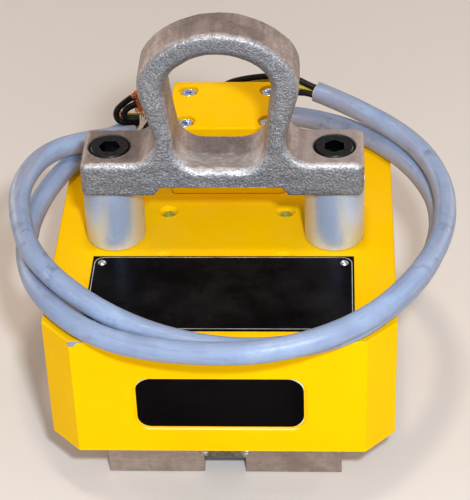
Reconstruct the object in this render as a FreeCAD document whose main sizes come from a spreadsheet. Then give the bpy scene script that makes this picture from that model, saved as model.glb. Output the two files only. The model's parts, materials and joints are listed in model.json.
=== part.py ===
import FreeCAD, Part
import math
import os
from types import SimpleNamespace

import Sketcher
from FreeCAD import Placement, Rotation, Vector

# Electro-permanent lifting magnet, millimetres.
# Origin on the ground under the middle of the body, front toward -Y, +Z up.

SIZES = {
    "shoe_height": 38,
    "shoe_half_depth": 83.7,
    "shoe_inner": 13,
    "shoe_outer": 72.7,
    "shoe_edge": 0.8,
    "spacer_bottom": 12.3,
    "spacer_height": 14.7,
    "spacer_depth": 15,
    "housing_width": 210,
    "housing_height": 86,
    "housing_corner": 18,
    "housing_edge": 1,
    "roof_thickness": 24,
    "cavity_width": 174,
    "pole_centre": 43,
    "pole_half_width": 30,
    "pole_half_depth": 80,
    "pole_height": 34,
    "cover_thickness": 4,
    "cover_clearance": 0.2,
    "alnico_half_width": 24,
    "alnico_half_depth": 70,
    "former_clearance": 0.5,
    "former_wall": 1.5,
    "flange_half_width": 40,
    "flange_half_depth": 84,
    "coil_half_width": 39,
    "coil_half_depth": 83,
    "coil_clearance": 0.1,
    "centre_magnet_half": 12.8,
    "side_magnet_inner": 73.2,
    "side_magnet_outer": 86.8,
    "magnet_half_depth": 78,
    "shoe_screw_spacing": 55,
    "shoe_screw_size": 10,
    "shoe_hole_size": 11,
    "shoe_screw_length": 42,
    "shoe_screw_head": 16,
    "shoe_screw_head_height": 10,
    "shoe_bore": 17,
    "shoe_bore_depth": 12,
    "column_spacing": 136,
    "column_size": 36.8,
    "column_height": 45,
    "column_edge": 1.2,
    "column_bore": 17,
    "foot_half_length": 84,
    "foot_thickness": 21,
    "lean_cut": 6,
    "foot_half_depth": 22,
    "foot_edge": 2,
    "step_outer": 40.5,
    "step_inner": 36.5,
    "step_rise": 5.6,
    "leg_fillet": 14.5,
    "leg_fillet_x": 54,
    "leg_start_height": 18.11691,
    "leg_start_half": 39.95835,
    "shoulder_height": 44.38867,
    "shoulder_half_width": 46.72555,
    "shoulder_radius": 24.5,
    "arch_start_height": 66.54908,
    "arch_start_half": 41.51154,
    "arch_radius": 54.94048,
    "arch_top_height": 85.5,
    "arch_half_depth": 14.4,
    "window_floor": 16.8,
    "window_corner": 17,
    "window_corner_half": 10.2809,
    "window_side_height": 10.73906,
    "window_side_half": 27.15551,
    "window_shoulder": 44.64811,
    "window_shoulder_half": 31.29691,
    "window_shoulder_radius": 19.4,
    "window_arch_start": 62.01086,
    "window_arch_half": 24.32959,
    "window_arch_radius": 38.40599,
    "eye_edge": 4.2,
    "window_edge": 5.5,
    "bracket_screw_size": 16,
    "bracket_screw_length": 75,
    "bracket_screw_head": 24,
    "bracket_screw_head_height": 10,
    "bracket_screw_socket": 12,
    "bracket_screw_socket_depth": 6,
    "bracket_screw_edge": 1,
    "bracket_bore": 25.4,
    "thread_clearance": 0.1,
    "roof_thread_depth": 21,
    "accessory_half_x": 37.2,
    "accessory_half_y": 24.4,
    "accessory_thread": 8,
    "accessory_depth": 16,
    "accessory_sink": 2.2,
    "box_half_width": 36.5,
    "box_front": 44,
    "box_back": 99.5,
    "box_height": 37,
    "box_wall": 3.5,
    "box_floor": 4,
    "box_corner": 3,
    "gasket_thickness": 1,
    "gasket_setback": 0.6,
    "lid_height": 12.3,
    "lid_top": 3,
    "lid_edge": 1.6,
    "lid_screw_half_x": 26,
    "lid_screw_front": 52,
    "lid_screw_back": 88,
    "lid_screw_size": 6,
    "lid_hole_size": 6.4,
    "lid_screw_head": 10,
    "lid_screw_head_height": 2.6,
    "lid_screw_length": 22,
    "lid_boss": 15,
    "box_boss": 10,
    "dimple_size": 13,
    "dimple_depth": 3,
    "lead_centre": 72,
    "lead_hole": 14,
    "lead_size": 2.4,
    "lead_spacing": 8,
    "wire_spacing": 11.2,
    "block_half_width": 17,
    "block_half_depth": 8,
    "block_rise": 4,
    "block_height": 14,
    "block_foot": 5,
    "wire_hole": 4,
    "wire_hole_depth": 9,
    "box_screw_half_x": 25,
    "box_screw_offset": 6,
    "box_screw_size": 4,
    "box_screw_head": 7,
    "box_screw_head_height": 2.4,
    "box_screw_length": 14,
    "gland_x": -9,
    "gland_rise": 26,
    "gland_thread": 16,
    "gland_thread_length": 11,
    "gland_flats": 20,
    "gland_flange": 5,
    "gland_neck": 15,
    "gland_neck_length": 7,
    "gland_bore": 10,
    "gland_cap_size": 19,
    "gland_cap_gap": 0.4,
    "gland_cap_length": 11,
    "gland_cap_mouth": 11,
    "gland_cap_lip": 2,
    "gland_seal_length": 4,
    "locknut_flats": 20,
    "locknut_thickness": 4,
    "plate_half_width": 80,
    "plate_front": -95.6,
    "plate_back": -24.1,
    "plate_thickness": 1,
    "rivet_half_x": 74.1,
    "rivet_front": -90,
    "rivet_back": -31.4,
    "rivet_size": 3,
    "rivet_head": 5.4,
    "rivet_head_height": 1.5,
    "rivet_shoulder_half": 1.95,
    "rivet_shoulder_height": 1.08,
    "rivet_crown_half": 0.8,
    "rivet_length": 7,
    "label_half_width": 50,
    "label_bottom": 57.1,
    "label_top": 94.6,
    "label_corner": 8.4,
    "label_thickness": 0.3,
    "recess_half_width": 51.6,
    "recess_bottom": 55.9,
    "recess_top": 95.1,
    "recess_corner": 10,
    "recess_depth": 1.2,
    "recess_edge": 0.6,
    "cable_size": 13.5,
    "core_size": 4.2,
    "strand_size": 0.9,
}

doc = FreeCAD.newDocument("lifting_magnet")
sheet = doc.addObject("Spreadsheet::Sheet", "Sizes")
for row, (name, amount) in enumerate(SIZES.items(), start=1):
    sheet.set("A%d" % row, name)
    sheet.set("B%d" % row, str(amount))
    sheet.setAlias("B%d" % row, name)
doc.recompute()

NODES = []


class Size:
    """A length together with the sheet formula that gives it."""

    def __init__(self, amount, formula):
        self.amount = amount
        self.formula = formula

    def __add__(self, other):
        other = as_size(other)
        return Size(self.amount + other.amount, "(%s + %s)" % (self.formula, other.formula))

    def __sub__(self, other):
        other = as_size(other)
        return Size(self.amount - other.amount, "(%s - %s)" % (self.formula, other.formula))

    def __mul__(self, factor):
        return Size(self.amount * factor, "(%s * %.6f)" % (self.formula, factor))

    def __neg__(self):
        return self * -1


def as_size(thing):
    if isinstance(thing, Size):
        return thing
    return Size(thing, "%.6f" % thing)


s = SimpleNamespace(**{name: Size(amount, "Sizes." + name) for name, amount in SIZES.items()})

# Heights and half sizes that several pieces share.
housing_bottom = s.shoe_height
housing_top = s.shoe_height + s.housing_height
housing_half = s.housing_width * 0.5
cavity_half = s.cavity_width * 0.5
cavity_top = housing_top - s.roof_thickness
pole_top = s.shoe_height + s.pole_height
foot_bottom = housing_top + s.column_height
foot_top = foot_bottom + s.foot_thickness
column_half = s.column_spacing * 0.5
box_top = housing_top + s.box_height
lid_bottom = box_top + s.gasket_thickness
block_bottom = housing_top + s.box_floor + s.block_rise
gland_height = housing_top + s.gland_rise


def bind(thing, path, size):
    thing.setExpression(path, as_size(size).formula)


def place(thing, x, y, z, turn=None):
    """Put a piece at a place that the sheet gives, turned if asked."""
    thing.Placement = Placement(Vector(0, 0, 0), turn or Rotation())
    for axis, size in zip("xyz", (x, y, z)):
        bind(thing, "Placement.Base." + axis, size)


def new_body(name):
    body = doc.addObject("PartDesign::Body", name)
    body.Label = name
    NODES.append(body)
    return body


def new_sketch(body, name, role, offset=0):
    sketch = body.newObject("Sketcher::SketchObject", name)
    plane = next(item for item in body.Origin.OriginFeatures if item.Role == role)
    sketch.AttachmentSupport = [(plane, "")]
    sketch.MapMode = "FlatFace"
    bind(sketch, "AttachmentOffset.Base.z", offset)
    return sketch


def tie(sketch, kind, geometry, point, size):
    """Hold a point of the sketch at a distance from the origin that the sheet gives."""
    size = as_size(size)
    if abs(size.amount) < 1e-9:
        axis = -2 if kind == "DistanceX" else -1
        sketch.addConstraint(Sketcher.Constraint("PointOnObject", geometry, point, axis))
        return
    row = sketch.addConstraint(Sketcher.Constraint(kind, -1, 1, geometry, point, size.amount))
    sketch.setExpression("Constraints[%d]" % row, size.formula)


def arc_through(start, end, radius, side):
    """Circle arc between two points; side +1 has its centre left of the way from start to end."""
    middle = (start + end) * 0.5
    along = end - start
    reach = math.sqrt(radius ** 2 - (along.Length / 2) ** 2)
    left = Vector(-along.y, along.x, 0).normalize()
    centre = middle + left * (reach * side)
    first, last = (start, end) if side > 0 else (end, start)
    angles = [math.atan2(p.y - centre.y, p.x - centre.x) for p in (first, last)]
    return Part.ArcOfCircle(Part.Circle(centre, Vector(0, 0, 1), radius), angles[0], angles[1])


def outline(sketch, corners):
    """Closed outline. A corner (x, y, radius, side) starts an arc to the next corner, (x, y) a line."""
    spots = [Vector(as_size(c[0]).amount, as_size(c[1]).amount, 0) for c in corners]
    ends = []
    for index, corner in enumerate(corners):
        start = spots[index]
        end = spots[(index + 1) % len(spots)]
        if len(corner) == 2:
            geometry = sketch.addGeometry(Part.LineSegment(start, end), False)
            ends.append((geometry, 1, 2))
        else:
            radius, side = corner[2], corner[3]
            geometry = sketch.addGeometry(arc_through(start, end, radius.amount, side), False)
            ends.append((geometry, 1, 2) if side > 0 else (geometry, 2, 1))
    for index, (geometry, start, end) in enumerate(ends):
        following, next_start, _ = ends[(index + 1) % len(ends)]
        sketch.addConstraint(Sketcher.Constraint("Coincident", geometry, end, following, next_start))
    for (geometry, start, end), corner in zip(ends, corners):
        tie(sketch, "DistanceX", geometry, start, corner[0])
        tie(sketch, "DistanceY", geometry, start, corner[1])
        if len(corner) > 2:
            row = sketch.addConstraint(Sketcher.Constraint("Radius", geometry, corner[2].amount))
            sketch.setExpression("Constraints[%d]" % row, corner[2].formula)


def rectangle(sketch, left, right, bottom, top):
    outline(sketch, [(left, bottom), (right, bottom), (right, top), (left, top)])


def rounded_rectangle(sketch, half, bottom, top, corner):
    """Rectangle about the sketch's upright axis, with its four corners rounded."""
    outline(sketch, [
        (corner - half, bottom), (half - corner, bottom, corner, 1), (half, bottom + corner),
        (half, top - corner, corner, 1), (half - corner, top), (corner - half, top, corner, 1),
        (-half, top - corner), (-half, bottom + corner, corner, 1),
    ])


def circle(sketch, x, y, diameter):
    diameter = as_size(diameter)
    centre = Vector(as_size(x).amount, as_size(y).amount, 0)
    geometry = sketch.addGeometry(Part.Circle(centre, Vector(0, 0, 1), diameter.amount / 2), False)
    tie(sketch, "DistanceX", geometry, 3, x)
    tie(sketch, "DistanceY", geometry, 3, y)
    row = sketch.addConstraint(Sketcher.Constraint("Diameter", geometry, diameter.amount))
    sketch.setExpression("Constraints[%d]" % row, diameter.formula)


def hexagon(sketch, flats, turn=0):
    corners = []
    for step in range(6):
        angle = math.radians(60 * step + turn)
        reach = flats * (1 / math.sqrt(3))
        corners.append((reach * math.cos(angle), reach * math.sin(angle)))
    outline(sketch, corners)


def pad(body, sketch, name, length, symmetric=False, reverse=False):
    feature = body.newObject("PartDesign::Pad", name)
    feature.Profile = sketch
    feature.SideType = "Symmetric" if symmetric else "One side"
    feature.Reversed = reverse
    bind(feature, "Length", length)
    return feature


def pocket(body, sketch, name, length=None, symmetric=False, reverse=False):
    """Cut a sketch away, right through when no length is given."""
    feature = body.newObject("PartDesign::Pocket", name)
    feature.Profile = sketch
    feature.SideType = "Symmetric" if symmetric else "One side"
    feature.Reversed = reverse
    if length is None:
        feature.Type = "ThroughAll"
    else:
        bind(feature, "Length", length)
    return feature


def revolve(body, sketch, name):
    feature = body.newObject("PartDesign::Revolution", name)
    feature.Profile = sketch
    feature.ReferenceAxis = (sketch, ["V_Axis"])
    feature.Angle = 360
    return feature


def dress(body, kind, name, size_name, amount, wanted):
    """Fillet or chamfer the edges of the body so far that pass a test."""
    doc.recompute()
    base = body.Tip
    edges = [index for index, edge in enumerate(base.Shape.Edges, start=1) if wanted(edge)]
    feature = body.newObject("PartDesign::" + kind, name)
    feature.Base = (base, ["Edge%d" % index for index in edges])
    bind(feature, size_name, amount)
    return feature


def turned(name, profile):
    """A piece turned about its own Z axis from a half profile."""
    body = new_body(name)
    sketch = new_sketch(body, name + "_profile", "XZ_Plane")
    outline(sketch, profile)
    revolve(body, sketch, name + "_turning")
    return body


def block(name, left, right, front, back, bottom, top):
    box = doc.addObject("Part::Box", name)
    box.Label = name
    bind(box, "Length", as_size(right) - left)
    bind(box, "Width", as_size(back) - front)
    bind(box, "Height", as_size(top) - bottom)
    place(box, left, front, bottom)
    NODES.append(box)
    return box


def group(name, piece, spots):
    """Several copies of one turned piece, kept as separate solids of one node."""
    doc.recompute()
    NODES.remove(piece)
    copies = []
    for spot in spots:
        copy = piece.Shape.copy()
        offset = Vector(*[as_size(size).amount for size in spot])
        copy.Placement = Placement(offset, Rotation()) * copy.Placement
        copies.append(copy)
    feature = doc.addObject("Part::Feature", name)
    feature.Label = name
    feature.Shape = Part.makeCompound(copies)
    NODES.append(feature)
    return feature


def level(edge, height):
    return all(abs(vertex.Z - height) < 1e-6 for vertex in edge.Vertexes)


def upright(edge):
    return len(edge.Vertexes) == 2 and edge.Vertexes[0].Point.sub(edge.Vertexes[1].Point).cross(
        Vector(0, 0, 1)).Length < 1e-6


SIDES = (("left", -1), ("right", 1))


# Housing

housing = new_body("magnet_housing")
plan = new_sketch(housing, "housing_plan", "XY_Plane", housing_bottom)
near = housing_half - s.housing_corner
outline(plan, [
    (-near, -housing_half), (near, -housing_half), (housing_half, -near), (housing_half, near),
    (near, housing_half), (-near, housing_half), (-housing_half, near), (-housing_half, -near),
])
pad(housing, plan, "housing_block", s.housing_height)
cavity = new_sketch(housing, "cavity_plan", "XY_Plane", housing_bottom)
rectangle(cavity, -cavity_half, cavity_half, -cavity_half, cavity_half)
pocket(housing, cavity, "magnet_cavity", s.housing_height - s.roof_thickness, reverse=True)
dress(
    housing, "Fillet", "housing_edges", "Radius", s.housing_edge,
    lambda edge: max(abs(edge.CenterOfMass.x), abs(edge.CenterOfMass.y)) > cavity_half.amount + 1
    and (upright(edge) or level(edge, housing_top.amount)),
)
recess = new_sketch(housing, "label_recess_plan", "XZ_Plane", housing_half)
rounded_rectangle(recess, s.recess_half_width, s.recess_bottom, s.recess_top, s.recess_corner)
pocket(housing, recess, "label_recess", s.recess_depth)


def on_recess_rim(edge):
    box = edge.BoundBox
    on_front = box.YMax < 1e-3 - housing_half.amount
    return on_front and box.ZMin > s.recess_bottom.amount - 1e-3 and box.ZMax < s.recess_top.amount + 1e-3


dress(housing, "Fillet", "recess_edges", "Radius", s.recess_edge, on_recess_rim)
threads = new_sketch(housing, "bracket_thread_plan", "XY_Plane", housing_top)
for label, sign in SIDES:
    circle(threads, column_half * sign, 0, s.bracket_screw_size)
pocket(housing, threads, "bracket_threads", s.roof_thread_depth)
accessory = new_sketch(housing, "accessory_plan", "XY_Plane", housing_top)
for sign_x in (-1, 1):
    for sign_y in (-1, 1):
        circle(accessory, s.accessory_half_x * sign_x, s.accessory_half_y * sign_y, s.accessory_thread)
pocket(housing, accessory, "accessory_threads", s.accessory_depth)


def on_accessory_rim(edge):
    around = math.pi * s.accessory_thread.amount
    return level(edge, housing_top.amount) and abs(edge.Length - around) < 1e-3


dress(housing, "Chamfer", "accessory_sinks", "Size", s.accessory_sink, on_accessory_rim)
roof_holes = new_sketch(housing, "rivet_hole_plan", "XY_Plane", housing_top)
rivet_spots = [(s.rivet_half_x * sign, y) for sign in (-1, 1) for y in (s.rivet_front, s.rivet_back)]
for x, y in rivet_spots:
    circle(roof_holes, x, y, s.rivet_size)
pocket(housing, roof_holes, "rivet_holes", s.rivet_length)
box_holes = new_sketch(housing, "box_hole_plan", "XY_Plane", housing_top)
box_screw_spots = [
    (s.box_screw_half_x * sign_x, s.lead_centre + s.box_screw_offset * sign_y)
    for sign_x in (-1, 1) for sign_y in (-1, 1)
]
for x, y in box_screw_spots:
    circle(box_holes, x, y, s.box_screw_size)
pocket(housing, box_holes, "box_threads", s.box_screw_length)
lead_way = new_sketch(housing, "lead_hole_plan", "XY_Plane", housing_top)
circle(lead_way, 0, s.lead_centre, s.lead_hole)
pocket(housing, lead_way, "lead_hole", s.roof_thickness)


# Magnet system inside the housing

shoe_screw_rows = (s.shoe_screw_spacing * -1, as_size(0), s.shoe_screw_spacing)
for label, sign in SIDES:
    centre = s.pole_centre * sign

    core = new_body("pole_core_" + label)
    core_plan = new_sketch(core, "core_plan_" + label, "XY_Plane")
    rectangle(core_plan, -s.pole_half_width, s.pole_half_width, -s.pole_half_depth, s.pole_half_depth)
    pad(core, core_plan, "core_block_" + label, s.pole_height)
    core_holes = new_sketch(core, "core_hole_plan_" + label, "XY_Plane")
    for row in shoe_screw_rows:
        circle(core_holes, 0, row, s.shoe_screw_size)
    pocket(core, core_holes, "core_threads_" + label, s.shoe_screw_length - s.shoe_height + s.shoe_bore_depth,
           reverse=True)
    place(core, centre, 0, housing_bottom)

    block("alnico_magnet_" + label, centre - s.alnico_half_width, centre + s.alnico_half_width,
          -s.alnico_half_depth, s.alnico_half_depth, pole_top, cavity_top)

    former = new_body("coil_former_" + label)
    tube_x = s.alnico_half_width + s.former_clearance
    tube_y = s.alnico_half_depth + s.former_clearance
    tube_plan = new_sketch(former, "former_tube_plan_" + label, "XY_Plane")
    rectangle(tube_plan, -tube_x, tube_x, -tube_y, tube_y)
    wall_x = tube_x + s.former_wall
    wall_y = tube_y + s.former_wall
    rectangle(tube_plan, -wall_x, wall_x, -wall_y, wall_y)
    pad(former, tube_plan, "former_tube_" + label, cavity_top - pole_top)
    for end, rise in (("lower", as_size(0)), ("upper", cavity_top - pole_top - s.former_wall)):
        flange_plan = new_sketch(former, "former_%s_plan_%s" % (end, label), "XY_Plane", rise)
        rectangle(flange_plan, -tube_x, tube_x, -tube_y, tube_y)
        rectangle(flange_plan, -s.flange_half_width, s.flange_half_width,
                  -s.flange_half_depth, s.flange_half_depth)
        pad(former, flange_plan, "former_%s_%s" % (end, label), s.former_wall)
    place(former, centre, 0, pole_top)

    coil = new_body("coil_" + label)
    coil_plan = new_sketch(coil, "coil_plan_" + label, "XY_Plane")
    rectangle(coil_plan, -(wall_x + s.coil_clearance), wall_x + s.coil_clearance,
              -(wall_y + s.coil_clearance), wall_y + s.coil_clearance)
    rectangle(coil_plan, -s.coil_half_width, s.coil_half_width, -s.coil_half_depth, s.coil_half_depth)
    pad(coil, coil_plan, "coil_winding_" + label,
        cavity_top - pole_top - s.former_wall * 2 - s.coil_clearance * 2)
    place(coil, centre, 0, pole_top + s.former_wall + s.coil_clearance)

    inner = s.side_magnet_inner if sign > 0 else -s.side_magnet_outer
    outer = s.side_magnet_outer if sign > 0 else -s.side_magnet_inner
    block("side_magnet_" + label, inner, outer, -s.magnet_half_depth, s.magnet_half_depth,
          housing_bottom + s.cover_thickness, pole_top)

    shoe = new_body("pole_shoe_" + label)
    shoe_plan = new_sketch(shoe, "shoe_plan_" + label, "XY_Plane")
    shoe_left = s.shoe_inner if sign > 0 else -s.shoe_outer
    shoe_right = s.shoe_outer if sign > 0 else -s.shoe_inner
    rectangle(shoe_plan, shoe_left, shoe_right, -s.shoe_half_depth, s.shoe_half_depth)
    pad(shoe, shoe_plan, "shoe_block_" + label, s.shoe_height)
    dress(shoe, "Chamfer", "shoe_edges_" + label, "Size", s.shoe_edge, lambda edge: level(edge, 0))
    bores = new_sketch(shoe, "shoe_bore_plan_" + label, "XY_Plane")
    through = new_sketch(shoe, "shoe_hole_plan_" + label, "XY_Plane")
    for row in shoe_screw_rows:
        circle(bores, centre, row, s.shoe_bore)
        circle(through, centre, row, s.shoe_hole_size)
    pocket(shoe, bores, "shoe_bores_" + label, s.shoe_bore_depth, reverse=True)
    pocket(shoe, through, "shoe_holes_" + label, s.shoe_height, reverse=True)

block("centre_magnet", -s.centre_magnet_half, s.centre_magnet_half, -s.magnet_half_depth, s.magnet_half_depth,
      housing_bottom + s.cover_thickness, pole_top)

cover = new_body("bottom_cover_plate")
cover_plan = new_sketch(cover, "cover_plan", "XY_Plane", housing_bottom)
cover_half = cavity_half - s.cover_clearance
rectangle(cover_plan, -cover_half, cover_half, -cover_half, cover_half)
window_x = s.pole_half_width + s.cover_clearance * 0.5
window_y = s.pole_half_depth + s.cover_clearance
for label, sign in SIDES:
    centre = s.pole_centre * sign
    rectangle(cover_plan, centre - window_x, centre + window_x, -window_y, window_y)
pad(cover, cover_plan, "cover_sheet", s.cover_thickness)

shoe_thread = (s.shoe_screw_size - s.thread_clearance) * 0.5
shoe_screw = turned("shoe_screw", [
    (0, s.shoe_bore_depth - s.shoe_screw_head_height),
    (s.shoe_screw_head * 0.5, s.shoe_bore_depth - s.shoe_screw_head_height),
    (s.shoe_screw_head * 0.5, s.shoe_bore_depth),
    (shoe_thread, s.shoe_bore_depth),
    (shoe_thread, s.shoe_bore_depth + s.shoe_screw_length),
    (0, s.shoe_bore_depth + s.shoe_screw_length),
])
group("shoe_screws", shoe_screw, [
    (s.pole_centre * sign, row, 0) for label, sign in SIDES for row in shoe_screw_rows
])

for end, front in (("front", -s.shoe_half_depth), ("rear", s.shoe_half_depth - s.spacer_depth)):
    block("shoe_spacer_" + end, -s.shoe_inner, s.shoe_inner, front, front + s.spacer_depth,
          s.spacer_bottom, s.spacer_bottom + s.spacer_height)


# Columns, bracket and its screws

for label, sign in SIDES:
    bore = s.column_bore * 0.5
    rim = s.column_size * 0.5
    edge = s.column_edge
    column = turned("column_" + label, [
        (bore, 0), (rim - edge, 0), (rim, edge), (rim, s.column_height - edge),
        (rim - edge, s.column_height), (bore, s.column_height),
    ])
    place(column, column_half * sign, 0, housing_top)

bracket = new_body("lifting_bracket")
face = new_sketch(bracket, "bracket_outline", "XZ_Plane")
leg_start = foot_top + s.leg_start_height
step_height = foot_bottom + s.step_rise
shoulder = foot_top + s.shoulder_height
arch_start = foot_top + s.arch_start_height
outline(face, [
    (-s.step_inner, step_height), (s.step_inner, step_height), (s.step_outer, foot_bottom),
    (s.foot_half_length, foot_bottom), (s.foot_half_length, foot_top),
    (s.leg_fillet_x, foot_top, s.leg_fillet, -1),
    (s.leg_start_half, leg_start),
    (s.shoulder_half_width, shoulder, s.shoulder_radius, 1),
    (s.arch_start_half, arch_start, s.arch_radius, 1),
    (-s.arch_start_half, arch_start, s.shoulder_radius, 1),
    (-s.shoulder_half_width, shoulder),
    (-s.leg_start_half, leg_start, s.leg_fillet, -1),
    (-s.leg_fillet_x, foot_top), (-s.foot_half_length, foot_top), (-s.foot_half_length, foot_bottom),
    (-s.step_outer, foot_bottom),
])
pad(bracket, face, "bracket_blank", s.foot_half_depth * 2, symmetric=True)

opening = new_sketch(bracket, "window_outline", "XZ_Plane")
floor = foot_bottom + s.window_floor
window_side = foot_top + s.window_side_height
window_shoulder = foot_top + s.window_shoulder
window_arch = foot_top + s.window_arch_start
outline(opening, [
    (-s.window_corner_half, floor), (s.window_corner_half, floor, s.window_corner, 1),
    (s.window_side_half, window_side),
    (s.window_shoulder_half, window_shoulder, s.window_shoulder_radius, 1),
    (s.window_arch_half, window_arch, s.window_arch_radius, 1),
    (-s.window_arch_half, window_arch, s.window_shoulder_radius, 1),
    (-s.window_shoulder_half, window_shoulder),
    (-s.window_side_half, window_side, s.window_corner, 1),
])
pocket(bracket, opening, "eye_window", symmetric=True)

lean = new_sketch(bracket, "lean_outline", "YZ_Plane")
arch_top = foot_top + s.arch_top_height + 1
for sign in (-1, 1):
    outline(lean, [
        (s.foot_half_depth * sign, foot_bottom), ((s.foot_half_depth + s.lean_cut) * sign, foot_bottom),
        ((s.foot_half_depth + s.lean_cut) * sign, arch_top), (s.arch_half_depth * sign, arch_top),
    ])
pocket(bracket, lean, "leaning_faces", symmetric=True)


def on_window(edge):
    """An edge where a leaning face meets the window."""
    box = edge.BoundBox
    one_side = box.YMin * box.YMax > 0
    inside = max(-box.XMin, box.XMax) < s.step_inner.amount
    return one_side and inside and box.ZMin > step_height.amount + 1


def on_outside(edge):
    """An edge where a leaning face meets the foot tops, the legs or the arch, or a foot's outer top edge."""
    box = edge.BoundBox
    one_side = box.YMin * box.YMax > 0
    foot_end = abs(edge.CenterOfMass.x) > column_half.amount + 1
    return box.ZMin > step_height.amount + 1 and (one_side or foot_end) and not on_window(edge)


def on_foot_corner(edge):
    return abs(edge.CenterOfMass.x) > s.foot_half_length.amount - 1e-3 and edge.BoundBox.ZLength > 1


dress(bracket, "Fillet", "foot_corners", "Radius", s.foot_edge, on_foot_corner)
dress(bracket, "Fillet", "eye_edges", "Radius", s.eye_edge, on_outside)
dress(bracket, "Fillet", "window_edges", "Radius", s.window_edge, on_window)

bores = new_sketch(bracket, "bracket_bore_plan", "XY_Plane", foot_top)
holes = new_sketch(bracket, "bracket_hole_plan", "XY_Plane", foot_top)
for label, sign in SIDES:
    circle(bores, column_half * sign, 0, s.bracket_bore)
    circle(holes, column_half * sign, 0, s.column_bore)
pocket(bracket, bores, "bracket_bores", s.bracket_screw_head_height)
pocket(bracket, holes, "bracket_holes", s.foot_thickness)

for (label, sign), turn in zip(SIDES, (0, 30)):
    head = s.bracket_screw_head * 0.5
    edge = s.bracket_screw_edge
    thread = (s.bracket_screw_size - s.thread_clearance) * 0.5
    screw = turned("bracket_screw_" + label, [
        (0, -s.bracket_screw_length), (thread - edge, -s.bracket_screw_length),
        (thread, edge - s.bracket_screw_length), (thread, 0), (head, 0),
        (head, s.bracket_screw_head_height - edge), (head - edge, s.bracket_screw_head_height),
        (0, s.bracket_screw_head_height),
    ])
    socket = new_sketch(screw, "socket_plan_" + label, "XY_Plane", s.bracket_screw_head_height)
    hexagon(socket, s.bracket_screw_socket, turn)
    pocket(screw, socket, "socket_" + label, s.bracket_screw_socket_depth)
    place(screw, column_half * sign, 0, foot_top - s.bracket_screw_head_height)


# Terminal box

lid_screw_spots = [
    (s.lid_screw_half_x * sign, y) for sign in (-1, 1) for y in (s.lid_screw_front, s.lid_screw_back)
]
inside = (s.box_wall - s.box_half_width, s.box_half_width - s.box_wall,
          s.box_front + s.box_wall, s.box_back - s.box_wall)

box = new_body("terminal_box")
box_plan = new_sketch(box, "box_plan", "XY_Plane", housing_top)
rectangle(box_plan, -s.box_half_width, s.box_half_width, s.box_front, s.box_back)
pad(box, box_plan, "box_block", s.box_height)
dress(box, "Fillet", "box_corners", "Radius", s.box_corner, upright)
box_room = new_sketch(box, "box_room_plan", "XY_Plane", box_top)
rectangle(box_room, *inside)
pocket(box, box_room, "box_room", s.box_height - s.box_floor)
box_bosses = new_sketch(box, "box_boss_plan", "XY_Plane", housing_top)
box_threads = new_sketch(box, "box_thread_plan", "XY_Plane", box_top)
for x, y in lid_screw_spots:
    circle(box_bosses, x, y, s.box_boss)
    circle(box_threads, x, y, s.lid_screw_size)
pad(box, box_bosses, "box_bosses", s.box_height)
pocket(box, box_threads, "lid_threads", s.lid_screw_length)
floor_holes = new_sketch(box, "floor_hole_plan", "XY_Plane", housing_top + s.box_floor)
circle(floor_holes, 0, s.lead_centre, s.lead_hole)
for x, y in box_screw_spots:
    circle(floor_holes, x, y, s.box_screw_size)
pocket(box, floor_holes, "floor_holes", s.box_floor)
gland_hole = new_sketch(box, "gland_hole_plan", "XZ_Plane", -s.box_back)
circle(gland_hole, s.gland_x, gland_height, s.gland_thread)
pocket(box, gland_hole, "gland_hole", s.box_wall, reverse=True)

gasket = new_body("lid_gasket")
gasket_plan = new_sketch(gasket, "gasket_plan", "XY_Plane", box_top)
rectangle(gasket_plan, s.gasket_setback - s.box_half_width, s.box_half_width - s.gasket_setback,
          s.box_front + s.gasket_setback, s.box_back - s.gasket_setback)
rectangle(gasket_plan, *inside)
pad(gasket, gasket_plan, "gasket_sheet", s.gasket_thickness)

lid = new_body("terminal_box_lid")
lid_plan = new_sketch(lid, "lid_plan", "XY_Plane", lid_bottom)
rectangle(lid_plan, -s.box_half_width, s.box_half_width, s.box_front, s.box_back)
pad(lid, lid_plan, "lid_block", s.lid_height)
dress(lid, "Fillet", "lid_corners", "Radius", s.box_corner, upright)
dress(
    lid, "Fillet", "lid_edges", "Radius", s.lid_edge,
    lambda edge: level(edge, (lid_bottom + s.lid_height).amount),
)
lid_room = new_sketch(lid, "lid_room_plan", "XY_Plane", lid_bottom)
rectangle(lid_room, *inside)
pocket(lid, lid_room, "lid_room", s.lid_height - s.lid_top, reverse=True)
lid_bosses = new_sketch(lid, "lid_boss_plan", "XY_Plane", lid_bottom)
lid_dimples = new_sketch(lid, "lid_dimple_plan", "XY_Plane", lid_bottom + s.lid_height)
lid_holes = new_sketch(lid, "lid_hole_plan", "XY_Plane", lid_bottom + s.lid_height)
for x, y in lid_screw_spots:
    circle(lid_bosses, x, y, s.lid_boss)
    circle(lid_dimples, x, y, s.dimple_size)
    circle(lid_holes, x, y, s.lid_hole_size)
pad(lid, lid_bosses, "lid_bosses", s.lid_height - s.lid_top)
pocket(lid, lid_dimples, "lid_dimples", s.dimple_depth)
pocket(lid, lid_holes, "lid_holes", s.lid_height)

lid_thread = (s.lid_screw_size - s.thread_clearance) * 0.5
lid_head = s.lid_screw_head * 0.5
lid_screw = turned("lid_screw", [
    (0, -s.lid_screw_length), (lid_thread, -s.lid_screw_length), (lid_thread, 0), (lid_head, 0),
    (lid_head, s.lid_screw_head_height * 0.5),
    (lid_head - s.lid_screw_head_height * 0.5, s.lid_screw_head_height), (0, s.lid_screw_head_height),
])
group("lid_screws", lid_screw, [
    (x, y, lid_bottom + s.lid_height - s.dimple_depth) for x, y in lid_screw_spots
])

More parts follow.
